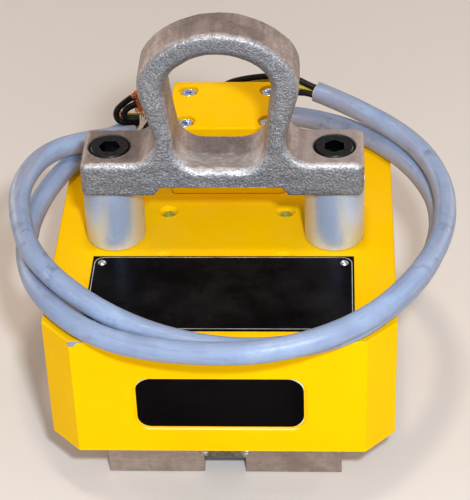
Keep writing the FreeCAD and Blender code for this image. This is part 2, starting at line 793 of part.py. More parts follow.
terminals = new_body("terminal_block")
terminal_plan = new_sketch(terminals, "terminal_plan", "XY_Plane", block_bottom)
rectangle(terminal_plan, -s.block_half_width, s.block_half_width,
          s.lead_centre - s.block_half_depth, s.lead_centre + s.block_half_depth)
pad(terminals, terminal_plan, "terminal_bar", s.block_height)
feet_plan = new_sketch(terminals, "terminal_feet_plan", "XY_Plane", block_bottom)
for sign in (-1, 1):
    outer_x = s.block_half_width * sign
    inner_x = (s.block_half_width - s.block_foot) * sign
    rectangle(feet_plan, outer_x, inner_x,
              s.lead_centre - s.block_half_depth, s.lead_centre + s.block_half_depth)
pad(terminals, feet_plan, "terminal_feet", s.block_rise, reverse=True)
wire_plan = new_sketch(terminals, "wire_hole_plan", "XY_Plane", block_bottom + s.block_height)
for sign in (-1, 0, 1):
    circle(wire_plan, s.wire_spacing * sign, s.lead_centre, s.wire_hole)
pocket(terminals, wire_plan, "wire_holes", s.wire_hole_depth)

box_thread = (s.box_screw_size - s.thread_clearance) * 0.5
box_screw = turned("box_screw", [
    (0, -s.box_screw_length), (box_thread, -s.box_screw_length), (box_thread, 0),
    (s.box_screw_head * 0.5, 0), (s.box_screw_head * 0.5, s.box_screw_head_height),
    (0, s.box_screw_head_height),
])
group("box_screws", box_screw, [(x, y, housing_top + s.box_floor) for x, y in box_screw_spots])

lead_half = s.lead_size * 0.5
lead_length = block_bottom - cavity_top
lead = turned("coil_lead", [(0, 0), (lead_half, 0), (lead_half, lead_length), (0, lead_length)])
group("coil_leads", lead, [
    (s.lead_spacing * 0.5 * sign_x, s.lead_centre + s.lead_size * sign_y, cavity_top)
    for sign_x in (-1, 1) for sign_y in (-1, 1)
])


# Cable gland on the back of the box; each piece is drawn along Z and laid along +Y

outward = Rotation(Vector(1, 0, 0), -90)

gland = new_body("gland_body")
flange_plan = new_sketch(gland, "gland_flange_plan", "XY_Plane")
hexagon(flange_plan, s.gland_flats, 30)
pad(gland, flange_plan, "gland_flange", s.gland_flange)
thread_plan = new_sketch(gland, "gland_thread_plan", "XY_Plane")
circle(thread_plan, 0, 0, s.gland_thread - s.thread_clearance)
pad(gland, thread_plan, "gland_thread", s.gland_thread_length, reverse=True)
neck_plan = new_sketch(gland, "gland_neck_plan", "XY_Plane", s.gland_flange)
circle(neck_plan, 0, 0, s.gland_neck)
pad(gland, neck_plan, "gland_neck", s.gland_neck_length)
bore_plan = new_sketch(gland, "gland_bore_plan", "XY_Plane", s.gland_flange + s.gland_neck_length)
circle(bore_plan, 0, 0, s.gland_bore)
pocket(gland, bore_plan, "gland_bore")
place(gland, s.gland_x, s.box_back, gland_height, outward)

cap_half = s.gland_cap_size * 0.5
cap_inner = (s.gland_neck + s.gland_cap_gap) * 0.5
cap_end = s.gland_flange + s.gland_cap_gap + s.gland_cap_length
cap_start = s.gland_flange + s.gland_cap_gap
cap = turned("gland_cap", [
    (cap_inner, cap_start), (cap_half, cap_start), (cap_half, cap_end - s.gland_cap_lip),
    (cap_half - s.gland_cap_lip, cap_end), (s.gland_cap_mouth * 0.5, cap_end),
    (s.gland_cap_mouth * 0.5, cap_end - s.gland_cap_lip), (cap_inner, cap_end - s.gland_cap_lip),
])
place(cap, s.gland_x, s.box_back, gland_height, outward)

seal_start = s.gland_flange + s.gland_neck_length
seal_end = seal_start + s.gland_seal_length
seal_half = s.gland_bore * 0.5
seal = turned("gland_seal", [(0, seal_start), (seal_half, seal_start), (seal_half, seal_end), (0, seal_end)])
place(seal, s.gland_x, s.box_back, gland_height, outward)

locknut = new_body("gland_locknut")
nut_plan = new_sketch(locknut, "locknut_plan", "XY_Plane")
hexagon(nut_plan, s.locknut_flats, 30)
circle(nut_plan, 0, 0, s.gland_thread)
pad(locknut, nut_plan, "locknut_plate", s.locknut_thickness, reverse=True)
place(locknut, s.gland_x, s.box_back - s.box_wall, gland_height, outward)


# Nameplate, rivets and front label

nameplate = new_body("nameplate")
plate_plan = new_sketch(nameplate, "plate_plan", "XY_Plane", housing_top)
rectangle(plate_plan, -s.plate_half_width, s.plate_half_width, s.plate_front, s.plate_back)
for x, y in rivet_spots:
    circle(plate_plan, x, y, s.rivet_size)
pad(nameplate, plate_plan, "plate_sheet", s.plate_thickness)

rivet_half = (s.rivet_size - s.thread_clearance) * 0.5
rivet_rim = s.rivet_head * 0.5
rivet = turned("rivet", [
    (0, s.plate_thickness - s.rivet_length), (rivet_half, s.plate_thickness - s.rivet_length),
    (rivet_half, s.plate_thickness), (rivet_rim, s.plate_thickness),
    (s.rivet_shoulder_half, s.plate_thickness + s.rivet_shoulder_height),
    (s.rivet_crown_half, s.plate_thickness + s.rivet_head_height),
    (0, s.plate_thickness + s.rivet_head_height),
])
group("nameplate_rivets", rivet, [(x, y, housing_top) for x, y in rivet_spots])

front_label = new_body("front_label")
label_plan = new_sketch(front_label, "label_plan", "XZ_Plane", housing_half - s.recess_depth)
rounded_rectangle(label_plan, s.label_half_width, s.label_bottom, s.label_top, s.label_corner)
pad(front_label, label_plan, "label_sheet", s.label_thickness)


# Supply cable and its cores: straight runs joined by tangent arcs

CABLE_ROUTE = [
    (56, 114, 157), (79, 105, 152), (119, 73, 146), (137, 25, 145), (135, -27, 145), (116, -74, 145.5),
    (83, -114, 144), (35, -132, 138.5), (-17, -128.6, 134.5), (-65.7, -115.4, 132.8), (-104, -78.4, 131.8),
    (-123, -29, 128), (-122, 22, 130), (-104, 71, 131.5), (-72, 110, 131.5), (-21, 124, 131), (29, 129, 131),
    (78, 111, 131.5), (114, 74, 131.5), (135, 27, 130), (131, -25, 130), (110, -71, 131.5), (75, -110, 131.5),
    (24, -119, 128), (-26.2, -113.3, 130.9), (-72, -94.1, 139), (-111.5, -57.2, 146.5), (-127, -8, 145.5),
    (-130, 27, 145), (-119, 58, 146), (-91.6, 74.1, 146), (-62.95, 86.46, 141),
]
CORE_ROUTES = {
    "core_upper": [
        (56.39, 113.85, 159.57), (51.83, 115.64, 160.56), (42.75, 118.9, 164.22), (26.72, 124.5, 162.94),
        (10.55, 127.6, 159.24), (-1.62, 128.4, 155.68), (-6.2, 126, 153.4), (-9, 121.4, 152.6),
        (-9, 115.5, 152.6)],
    "core_lower": [
        (54.74, 112.02, 155.26), (50.18, 113.81, 156.25), (42.03, 116.4, 154.67), (27.35, 121, 156.23),
        (11.23, 124, 154.75), (-0.28, 125.4, 151.65), (-4.9, 122.8, 148.6), (-6.6, 119.3, 148.2),
        (-6.6, 115.5, 148.2)],
    "core_earth": [
        (56.6, 116.56, 155.65), (52.04, 118.35, 156.64), (43.31, 121.2, 157.44), (27.18, 128.2, 156.76),
        (10.22, 132.2, 152.95), (-3.36, 132.6, 149.13), (-9.2, 128.4, 149.2), (-11.4, 122.4, 148.2),
        (-11.4, 115.5, 148.2)],
    "tail_core_outer": [
        (-63.33, 86.3, 138.43), (-53.36, 90.61, 136.69), (-54.6, 103.2, 140.4), (-73.82, 102.2, 140.1),
        (-77.24, 103.4, 146.28), (-73.77, 105, 152.47), (-65.45, 106.5, 157.73)],
    "tail_core_inner": [
        (-63.65, 88.61, 142.28), (-56.86, 91.55, 141.1), (-58, 99.6, 145), (-68.7, 98.8, 144.43),
        (-71.33, 100.2, 148.72), (-68.33, 101.8, 153), (-62.44, 103.6, 154.25)],
    "tail_core_earth": [
        (-61.85, 84.48, 142.28), (-47.37, 90.74, 139.75), (-47.6, 107.5, 141.6), (-63.22, 108, 142.32),
        (-70.64, 108.4, 141.93)],
}
JOINT_SHARE = 0.45


def route_wire(points):
    """Straight runs with a tangent arc at each inner point; gives the wire and the smallest radius."""
    spots = [Vector(*point) for point in points]
    edges = []
    radii = []
    start = spots[0]
    for before, corner, after in zip(spots, spots[1:], spots[2:]):
        back = before.sub(corner)
        ahead = after.sub(corner)
        cut = JOINT_SHARE * min(back.Length, ahead.Length)
        back.normalize()
        ahead.normalize()
        half_turn = (math.pi - back.getAngle(ahead)) / 2
        radius = cut / math.tan(half_turn)
        arc_start = corner + back * cut
        arc_end = corner + ahead * cut
        inward = (back + ahead).normalize()
        middle = corner + inward * (math.hypot(radius, cut) - radius)
        edges.append(Part.LineSegment(start, arc_start).toShape())
        edges.append(Part.Arc(arc_start, middle, arc_end).toShape())
        radii.append(radius)
        start = arc_end
    edges.append(Part.LineSegment(start, spots[-1]).toShape())
    return Part.Wire(edges), min(radii)


def tube_along(points, size):
    """A round tube along a route; gives the solid, its length and the smallest radius."""
    wire, smallest = route_wire(points)
    first = Vector(*points[0])
    heading = Vector(*points[1]).sub(first)
    ring = Part.Wire(Part.Circle(first, heading, size / 2).toShape())
    return wire.makePipeShell([ring], True, False), wire.Length, smallest


def cord(name, points, diameter):
    tube, length, smallest = tube_along(points, diameter.amount)
    section = math.pi * diameter.amount ** 2 / 4
    print("%s: length %.1f smallest radius %.1f volume %.1f section x length %.1f"
          % (name, length, smallest, tube.Volume, section * length))
    feature = doc.addObject("Part::Feature", name)
    feature.Label = name
    feature.Shape = tube
    NODES.append(feature)
    return feature


cord("supply_cable", CABLE_ROUTE, s.cable_size)
for name, points in CORE_ROUTES.items():
    cord(name, points, s.core_size)

# Bare strands of the three free cores, seven to a core, that bend over and droop together

STRAND_ENDS = {
    "tail_core_outer": [(-62.8, 107.2, 160.4), (-60.7, 107.8, 146.5)],
    "tail_core_inner": [(-59.82, 103.8, 154.97), (-59.28, 103, 147.49)],
    "tail_core_earth": [(-72.6, 108.5, 141.8), (-74.4, 108.6, 141.3)],
}
STRANDS_ROUND_MIDDLE = 6
STRAND_PITCH = 1.25


def beside(points, angle, distance):
    """A route that runs beside a route of three points and turns with it at the bend."""
    start, corner, tip = [Vector(*point) for point in points]
    first = corner.sub(start).normalize()
    second = tip.sub(corner).normalize()
    across = first.cross(second).normalize()
    first_rise = across.cross(first)
    second_rise = across.cross(second)
    sideways = across * (math.cos(angle) * distance)
    rise = math.sin(angle) * distance
    at_corner = (first_rise + second_rise) * (rise / (1 + first_rise.dot(second_rise)))
    return [
        start + sideways + first_rise * rise, corner + sideways + at_corner,
        tip + sideways + second_rise * rise,
    ]


strands = []
for name, bend_and_tip in STRAND_ENDS.items():
    points = CORE_ROUTES[name][-1:] + bend_and_tip
    before, end = [Vector(*point) for point in CORE_ROUTES[name][-2:]]
    in_core = Part.makeCylinder(s.core_size.amount, s.core_size.amount, end, before.sub(end))
    routes = [beside(points, 0, 0)]
    for step in range(STRANDS_ROUND_MIDDLE):
        angle = math.tau * step / STRANDS_ROUND_MIDDLE
        routes.append(beside(points, angle, s.strand_size.amount * STRAND_PITCH))
    for route in routes:
        strands.append(tube_along(route, s.strand_size.amount)[0].cut(in_core))
copper = doc.addObject("Part::Feature", "tail_copper")
copper.Label = "tail_copper"
copper.Shape = Part.makeCompound(strands)
NODES.append(copper)


# Check and write

doc.recompute()
for item in doc.Objects:
    if "Invalid" in item.State or "Error" in item.State:
        raise RuntimeError("%s did not build" % item.Name)
os.makedirs("parts", exist_ok=True)
for node in NODES:
    shape = node.Shape
    if shape.isNull() or not shape.isValid():
        raise RuntimeError("%s has no valid shape" % node.Label)
    shape.exportStep("parts/%s.step" % node.Label)
print("%d nodes" % len(NODES))
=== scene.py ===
import json
import math

import bmesh
import bpy
from mathutils import Matrix, Vector, noise


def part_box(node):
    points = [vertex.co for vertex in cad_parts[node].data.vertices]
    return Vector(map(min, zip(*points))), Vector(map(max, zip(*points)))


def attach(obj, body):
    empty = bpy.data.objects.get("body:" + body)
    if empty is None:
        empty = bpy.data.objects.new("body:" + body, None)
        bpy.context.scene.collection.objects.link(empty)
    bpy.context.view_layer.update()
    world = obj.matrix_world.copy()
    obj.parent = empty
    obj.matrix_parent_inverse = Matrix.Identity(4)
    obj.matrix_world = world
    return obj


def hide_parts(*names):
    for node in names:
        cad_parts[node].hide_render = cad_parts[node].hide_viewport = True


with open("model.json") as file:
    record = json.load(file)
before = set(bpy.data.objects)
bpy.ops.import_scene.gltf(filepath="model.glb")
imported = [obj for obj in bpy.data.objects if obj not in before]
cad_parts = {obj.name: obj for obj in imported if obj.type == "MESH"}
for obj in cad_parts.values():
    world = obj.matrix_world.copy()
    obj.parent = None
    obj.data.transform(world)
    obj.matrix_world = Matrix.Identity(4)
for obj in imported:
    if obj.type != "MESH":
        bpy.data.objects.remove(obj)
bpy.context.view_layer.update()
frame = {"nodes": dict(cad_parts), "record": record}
cad_nodes = frame["nodes"]
scene = bpy.context.scene
scene.view_settings.view_transform = "Standard"


# Camera, fitted to the edges in the photograph

EYE = Vector((0.06622, -0.93842, 0.81737))
RIGHT = Vector((0.99867, 0.04142, -0.03055))
UP = Vector((-0.00048, 0.60104, 0.79922))
AHEAD = Vector((-0.05147, 0.79815, -0.60026))
SENSOR_HEIGHT = 36
LENS = 134.765
FAR_LIMIT = 50

camera_lens = bpy.data.cameras.new("photo_camera")
camera_lens.sensor_fit = "VERTICAL"
camera_lens.sensor_height = SENSOR_HEIGHT
camera_lens.lens = LENS
camera_lens.clip_end = FAR_LIMIT
camera = bpy.data.objects.new("photo_camera", camera_lens)
scene.collection.objects.link(camera)
camera.matrix_world = Matrix.Translation(EYE) @ Matrix((RIGHT, UP, -AHEAD)).transposed().to_4x4()
scene.camera = camera


# Node helpers

def is_socket(value):
    return isinstance(value, bpy.types.NodeSocket)


def put(tree, kind, inputs=None, **settings):
    """Add a shader node; an input is a constant or another node's output."""
    made = tree.nodes.new("ShaderNode" + kind)
    for key, value in settings.items():
        setattr(made, key, value)
    for key, value in (inputs or {}).items():
        if is_socket(value):
            tree.links.new(value, made.inputs[key])
        else:
            made.inputs[key].default_value = value
    return made


def tree_of(*values):
    """The node tree that the sockets among these values belong to."""
    return next(value.id_data for value in values if is_socket(value))


def reckon(operation, first, second=0.0, clamp=False):
    tree = tree_of(first, second)
    return put(tree, "Math", {0: first, 1: second}, operation=operation, use_clamp=clamp).outputs[0]


def times(first, *factors):
    for factor in factors:
        first = reckon("MULTIPLY", first, factor)
    return first


def strongest(first, *masks):
    for mask in masks:
        first = reckon("MAXIMUM", first, mask)
    return first


def mix_values(share, under, over):
    tree = tree_of(share, under, over)
    return put(tree, "Mix", {0: share, 2: under, 3: over}, data_type="FLOAT").outputs[0]


def opaque(colour):
    return colour if is_socket(colour) else (*colour, 1.0)


def mix_colours(share, under, over):
    tree = tree_of(share, under, over)
    return put(tree, "Mix", {0: share, 6: opaque(under), 7: opaque(over)}, data_type="RGBA").outputs[2]


def layered(colour, *layers):
    """Lay colours over a colour; a layer is its colour, the mask of where it lies and perhaps a strength."""
    for over, mask, *strength in layers:
        colour = mix_colours(times(mask, *strength), colour, over)
    return colour


def between(value, low, high, start=0.0, end=1.0):
    """A smooth step from start to end while the value goes from low to high."""
    inputs = {0: value, 1: low, 2: high, 3: start, 4: end}
    return put(value.id_data, "MapRange", inputs, interpolation_type="SMOOTHSTEP").outputs[0]


def below(value, low, high, top=1.0):
    """A smooth step down from top to nothing while the value goes from low to high."""
    return between(value, low, high, top, 0.0)


def here(tree):
    return put(tree, "TexCoord").outputs["Object"]


def split(vector):
    return put(vector.id_data, "SeparateXYZ", {0: vector}).outputs


def true_normal(tree):
    return split(put(tree, "NewGeometry").outputs["True Normal"])


def stretched(place, scale, turn=(0.0, 0.0, 0.0)):
    inputs = {"Vector": place, "Rotation": turn, "Scale": scale}
    return put(place.id_data, "Mapping", inputs).outputs[0]


def cloud(place, scale, detail, **more):
    """Fractal noise at a place; more holds any other input of the noise."""
    inputs = {"Vector": place, "Scale": scale, "Detail": detail}
    for key, value in more.items():
        inputs[key.capitalize()] = value
    return put(place.id_data, "TexNoise", inputs).outputs[0]


def new_group(name, inputs, outputs):
    """An empty node group with named value sockets; gives the tree, its inputs and its output node."""
    tree = bpy.data.node_groups.new(name, "ShaderNodeTree")
    for label, amount in inputs:
        socket = tree.interface.new_socket(label, in_out="INPUT", socket_type="NodeSocketFloat")
        socket.default_value = amount
    for label in outputs:
        tree.interface.new_socket(label, in_out="OUTPUT", socket_type="NodeSocketFloat")
    entry = tree.nodes.new("NodeGroupInput")
    leave = tree.nodes.new("NodeGroupOutput")
    return tree, entry.outputs, leave


def use_group(tree, group, **inputs):
    made = tree.nodes.new("ShaderNodeGroup")
    made.node_tree = group
    for key, value in inputs.items():
        made.inputs[key.capitalize()].default_value = value
    return made.outputs


# Shared surface effects

def make_edge_wear_and_highlight():
    """Mask of the outer edges, broken up by noise: edges that handling rubs, and in the yellow paint also
    edges given a painted highlight.
    """
    sockets = (("Width", 0.001), ("Patchiness", 60.0), ("Reach", 0.3))
    tree, given, leave = new_group("edge_wear_and_highlight", sockets, ("Mask",))
    rounded = put(tree, "Bevel", {"Radius": given["Width"]}, samples=6).outputs[0]
    normal = put(tree, "NewGeometry").outputs["Normal"]
    match = put(tree, "VectorMath", {0: rounded, 1: normal}, operation="DOT_PRODUCT").outputs["Value"]
    edge = reckon("SUBTRACT", 1.0, match, clamp=True)
    broken = between(cloud(here(tree), given["Patchiness"], 5.0), 0.32, 0.62)
    strong = between(edge, 0.015, given["Reach"])
    mask = reckon("MULTIPLY", strong, reckon("ADD", broken, 0.25), clamp=True)
    tree.links.new(mask, leave.inputs[0])
    return tree


def make_grain():
    """Height and shade of a grainy surface with two sizes of grain."""
    sockets = (("Coarse", 150.0), ("Fine", 900.0), ("Balance", 0.5))
    tree, given, leave = new_group("grain", sockets, ("Height", "Shade"))
    place = here(tree)
    coarse = cloud(place, given["Coarse"], 3.0)
    fine = cloud(place, given["Fine"], 4.0, roughness=0.65)
    height = mix_values(given["Balance"], coarse, fine)
    tree.links.new(height, leave.inputs["Height"])
    tree.links.new(between(height, 0.33, 0.67), leave.inputs["Shade"])
    return tree


def make_patches():
    """Slow change over a surface, for stains, fading and polish."""
    tree, given, leave = new_group("patches", (("Size", 12.0), ("Low", 0.4), ("High", 0.65)), ("Mask",))
    billow = cloud(here(tree), given["Size"], 6.0, roughness=0.6, distortion=0.4)
    tree.links.new(between(billow, given["Low"], given["High"]), leave.inputs[0])
    return tree


def make_scratches():
    """Thin scratches that run two ways across a surface."""
    tree, given, leave = new_group("scratches", (("Spacing", 60.0), ("Amount", 0.62)), ("Mask",))
    upper = reckon("ADD", given["Amount"], 0.06)
    found = []
    for turn, scale in (((0.3, 0.5, 0.4), (1.0, 0.04, 1.0)), ((0.9, 0.2, 2.0), (0.05, 1.0, 0.7))):
        aimed = stretched(here(tree), scale, turn)
        streak = cloud(aimed, given["Spacing"], 7.0, roughness=0.75)
        found.append(between(streak, given["Amount"], upper))
    tree.links.new(strongest(*found), leave.inputs[0])
    return tree


def make_settled_dust():
    """Dust that lies on surfaces that face up."""
    tree, given, leave = new_group("settled_dust", (("Amount", 0.3),), ("Mask",))
    upward = split(put(tree, "NewGeometry").outputs["Normal"])["Z"]
    billow = cloud(here(tree), 35.0, 8.0, roughness=0.7)
    lies = times(between(upward, 0.3, 0.95), between(billow, 0.35, 0.75), given["Amount"])
    tree.links.new(lies, leave.inputs[0])
    return tree


EDGE_WEAR_AND_HIGHLIGHT = make_edge_wear_and_highlight()
GRAIN = make_grain()
PATCHES = make_patches()
SCRATCHES = make_scratches()
DUST = make_settled_dust()


def patches(tree, size, low, high):
    return use_group(tree, PATCHES, size=size, low=low, high=high)["Mask"]


def grain(tree, coarse, fine, balance):
    return use_group(tree, GRAIN, coarse=coarse, fine=fine, balance=balance)


def scratches(tree, spacing, amount):
    return use_group(tree, SCRATCHES, spacing=spacing, amount=amount)["Mask"]


def dust_on(tree, amount):
    return use_group(tree, DUST, amount=amount)["Mask"]


def near_point(tree, spot, low, high):
    """Mask that is 1 close to a spot on the object and fades out between two distances."""
    gap = put(tree, "VectorMath", {0: here(tree), 1: spot}, operation="DISTANCE").outputs["Value"]
    return below(gap, low, high)


def outside_rounded(tree, axes, middle, half_size, corner):
    """Distance outside a rounded rectangle on the object's surface, negative inside it."""
    spot = split(here(tree))
    beyond = []
    squares = []
    for axis, centre, half in zip(axes, middle, half_size):
        offset = reckon("ABSOLUTE", reckon("SUBTRACT", spot[axis], centre))
        beyond.append(reckon("SUBTRACT", offset, half - corner))
        positive = reckon("MAXIMUM", beyond[-1], 0.0)
        squares.append(times(positive, positive))
    far = reckon("SQRT", reckon("ADD", *squares))
    within = reckon("MINIMUM", strongest(*beyond), 0.0)
    return reckon("SUBTRACT", reckon("ADD", far, within), corner)


# Finishes

def socket_name(key):
    return key.replace("_", " ").title().replace("Ior", "IOR")


def new_finish(name, **sockets):
    """A material with one Principled shader; constants are set on the shader's own sockets."""
    material = bpy.data.materials.new(name)
    material.use_nodes = True
    tree = material.node_tree
    tree.nodes.clear()
    shader = tree.nodes.new("ShaderNodeBsdfPrincipled")
    leave = tree.nodes.new("ShaderNodeOutputMaterial")
    tree.links.new(shader.outputs[0], leave.inputs[0])
    for key, value in sockets.items():
        shader.inputs[socket_name(key)].default_value = value
    return material, tree, shader


def feed(shader, **sockets):
    for key, value in sockets.items():
        value.id_data.links.new(value, shader.inputs[socket_name(key)])


def bump(shader, height, distance, strength=0.5):
    tree = height.id_data
    made = put(tree, "Bump", {"Height": height, "Distance": distance, "Strength": strength})
    tree.links.new(made.outputs[0], shader.inputs["Normal"])


# Yellow paint: painted highlights along its edges and on the lip under the label, chipped at one front
# corner

RECESS_MIDDLE = (0.0, 0.0755)
RECESS_HALF = (0.0516, 0.0196)
RECESS_CORNER = 0.010
LIP_START = (-0.0002, 0.0001)
LIP_STOP = (0.0005, 0.0008)
LIP_RISE = (0.0560, 0.0575)
LIP_DEPTH = (-0.1030, -0.1015)
PAINT_EDGE = 0.0009
PAINT_CHIPS = (
    ((-0.0862, -0.1050, 0.1218), 0.0042),
    ((-0.0835, -0.1050, 0.1234), 0.0034),
    ((-0.0808, -0.1050, 0.1240), 0.0028),
)


# Painted highlight: a light line along the lower lip of the label recess, where light from above would catch
# its edge.
def recess_lip_highlight(tree):
    spot = split(here(tree))
    rim = outside_rounded(tree, "XZ", RECESS_MIDDLE, RECESS_HALF, RECESS_CORNER)
    band = times(between(rim, *LIP_START), below(rim, *LIP_STOP))
    low = below(spot["Z"], *LIP_RISE)
    sunk = below(spot["Y"], *LIP_DEPTH, 0.9)
    return times(band, low, sunk)


def paint_chips(tree):
    """Ragged bare spots on faces that look forward."""
    ragged = cloud(here(tree), 240.0, 4.0)
    found = []
    for spot, reach in PAINT_CHIPS:
        near = near_point(tree, spot, reach * 0.15, reach)
        found.append(between(reckon("ADD", near, ragged), 1.0, 1.06))
    forward = below(true_normal(tree)["Y"], -0.85, -0.6)
    return times(strongest(*found), forward)


def yellow_paint():
    material, tree, shader = new_finish("yellow_paint", specular_ior_level=0.02)
    dust = dust_on(tree, 0.05)
    edge_mask = use_group(tree, EDGE_WEAR_AND_HIGHLIGHT, width=PAINT_EDGE, patchiness=90.0, reach=0.5)["Mask"]
    bare = strongest(times(between(edge_mask, 0.8, 0.98), 0.15), paint_chips(tree))
    fade = patches(tree, 9.0, 0.35, 0.7)
    colour = layered(
        mix_colours(fade, (0.88, 0.472, 0.0), (0.92, 0.512, 0.0)),
        ((0.60, 0.44, 0.16), dust),
        ((0.22, 0.13, 0.02), patches(tree, 330.0, 0.745, 0.775), 0.6),
        # Painted highlight: lighter yellow along the edges. The most worn edges are bare grey, which is real
        # wear.
        ((1.0, 0.74, 0.20), edge_mask, 0.55),
        # Painted highlight on the lip under the label.
        ((1.0, 0.68, 0.17), recess_lip_highlight(tree)),
        ((0.29, 0.28, 0.28), bare),
    )
    rough = mix_values(patches(tree, 25.0, 0.3, 0.7), 0.20, 0.30)
    rough = mix_values(strongest(scratches(tree, 45.0, 0.70), dust), rough, 0.5)
    feed(shader, base_color=colour, roughness=rough)
    coat = grain(tree, 330.0, 1500.0, 0.25)["Height"]
    bump(shader, reckon("SUBTRACT", coat, times(bare, 1.5)), 0.00012, 0.45)
    return material


# Forged steel: blasted grain on the faces, brown sides, and edges drawn bright where they look up: partly
# rubbed bare metal, partly a painted highlight from the light above

FOOT_TOP = 0.190
COLUMN_X = 0.068
BORE_HALF = 0.0127
BORE_GAP = (BORE_HALF + 0.0002, BORE_HALF + 0.0009)
WINDOW_FLOOR = 0.1858
WINDOW_HALF = (0.024, 0.034)
WINDOW_RISE = (WINDOW_FLOOR + 0.006, WINDOW_FLOOR + 0.016)
CREASE_RISE = (WINDOW_FLOOR + 0.002, WINDOW_FLOOR + 0.008)
WRINKLE_Y = -0.0015
RUBBED_FRONT = (WRINKLE_Y - 0.001, WRINKLE_Y + 0.003)
RAGGED_EDGE = 0.004
LEFT_DARKER_INNER = (-0.052, -0.040)
LEFT_DARKER_OUTER = (-0.064, -0.056)
LEFT_DARKER_FRONT = (-0.017, -0.012)
LEFT_DARKER_RISE = (FOOT_TOP + 0.001, FOOT_TOP + 0.010)
RIGHT_PALER_INNER = (0.040, 0.055)
RIGHT_PALER_RISE = (FOOT_TOP + 0.004, FOOT_TOP + 0.014)
ARCH_START = (0.235, 0.262)


def left_foot_darker(spot):
    """Darker on top of the left foot, strongest between the screw and the leg."""
    inner = below(spot["X"], *LEFT_DARKER_INNER)
    outer = between(spot["X"], *LEFT_DARKER_OUTER, 0.4, 1.0)
    behind = between(spot["Y"], *LEFT_DARKER_FRONT, 0.2, 1.0)
    return times(inner, below(spot["Z"], *LEFT_DARKER_RISE, 0.58), outer, behind)


def right_foot_paler(spot, upward):
    """The paler top of the right foot."""
    inner = between(spot["X"], *RIGHT_PALER_INNER, 0.0, 0.48)
    return times(inner, below(spot["Z"], *RIGHT_PALER_RISE), between(upward, 0.3, 0.8))


def forged_steel():
    material, tree, shader = new_finish("forged_steel")
    place = here(tree)
    spot = split(place)
    facing = true_normal(tree)
    depthwise = reckon("ABSOLUTE", facing["Y"])
    blasted = between(depthwise, 0.45, 0.95)
    sand = grain(tree, 740.0, 1900.0, 0.36)
    shade = sand["Shade"]
    lines = cloud(stretched(place, (1.0, 0.12, 0.6)), 260.0, 4.0)
    folds = cloud(stretched(place, (0.45, 1.0, 1.0)), 330.0, 3.0, distortion=0.7)

    in_window = times(below(reckon("ABSOLUTE", spot["X"]), *WINDOW_HALF), below(spot["Z"], *WINDOW_RISE))
    ragged = reckon("ADD", spot["Y"], times(shade, RAGGED_EDGE))
    rubbed = times(in_window, below(ragged, *RUBBED_FRONT))
    streak = times(in_window, between(lines, 0.45, 0.62))
    # Painted light and shade on the window floor's folds: the rubbed floor is lighter, and its colour
    # follows the fold height, lighter on crests and darker in creases.
    fold_shade_share = times(below(spot["Z"], *CREASE_RISE, 0.75), between(folds, 0.42, 0.64))
    fold_shaded_colour = mix_colours(fold_shade_share, (0.40, 0.335, 0.31), (0.62, 0.56, 0.54))

    stain = patches(tree, 55.0, 0.36, 0.66)
    sides = layered(
        mix_colours(stain, (0.180, 0.124, 0.103), (0.362, 0.268, 0.232)),
        ((0.13, 0.095, 0.08), between(lines, 0.38, 0.62, 0.0, 0.6)),
        ((0.41, 0.325, 0.29), shade, 0.45),
        ((0.09, 0.062, 0.05), left_foot_darker(spot)),
        ((0.50, 0.405, 0.375), right_foot_paler(spot, facing["Z"])),
        ((0.35, 0.26, 0.225), streak, 0.4),
        (fold_shaded_colour, rubbed, 0.7),
    )
    faces = layered(
        mix_colours(shade, (0.185, 0.175, 0.178), (0.430, 0.415, 0.418)),
        # Painted shade: the front face darkens up the arch, where it leans back toward the light above.
        ((0.16, 0.155, 0.165), between(spot["Z"], *ARCH_START, 0.0, 0.45)),
    )

    # Bright edges: partly rubbed bare metal, partly a painted highlight, strongest where the edges look up
    # toward the light above.
    edge = times(between(depthwise, 0.12, 0.45), between(depthwise, 0.97, 0.75))
    rubbed_and_lit = reckon("ADD", times(shade, 0.48), 0.08)
    rubbed_and_lit = times(rubbed_and_lit, between(facing["Z"], -0.05, 0.3, 0.15, 1.0))
    edge_mask = times(edge, rubbed_and_lit, between(spot["Z"], *ARCH_START, 1.0, 0.55))
    # Painted shade: the gap between each screw head and its bore is drawn nearly black.
    bore_gap_shade = [near_point(tree, (side * COLUMN_X, 0.0, FOOT_TOP), *BORE_GAP) for side in (-1, 1)]
    colour = layered(
        mix_colours(blasted, sides, faces),
        ((0.76, 0.75, 0.75), edge_mask),
        ((0.13, 0.115, 0.11), patches(tree, 150.0, 0.56, 0.68), 0.24),
        ((0.02, 0.018, 0.017), strongest(*bore_gap_shade), 0.9),
    )
    rough = mix_values(edge_mask, mix_values(shade, 0.56, 0.40), 0.42)
    metal = strongest(mix_values(blasted, 0.5, 0.9), edge_mask)
    feed(shader, base_color=colour, roughness=rough, metallic=metal)

    calm = times(mix_values(0.5, lines, sand["Height"]), 0.62)
    height = mix_values(between(depthwise, 0.05, 0.5), calm, sand["Height"])
    height = mix_values(times(edge, 0.5), height, 0.5)
    creased = times(rubbed, below(depthwise, 0.15, 0.45, 0.6))
    bump(shader, mix_values(creased, height, folds), 0.0012, 0.82)
    return material


# Other metals

ZINC_RECESS = (0.1724, 0.1729)
OXIDE_EDGE = 0.0008


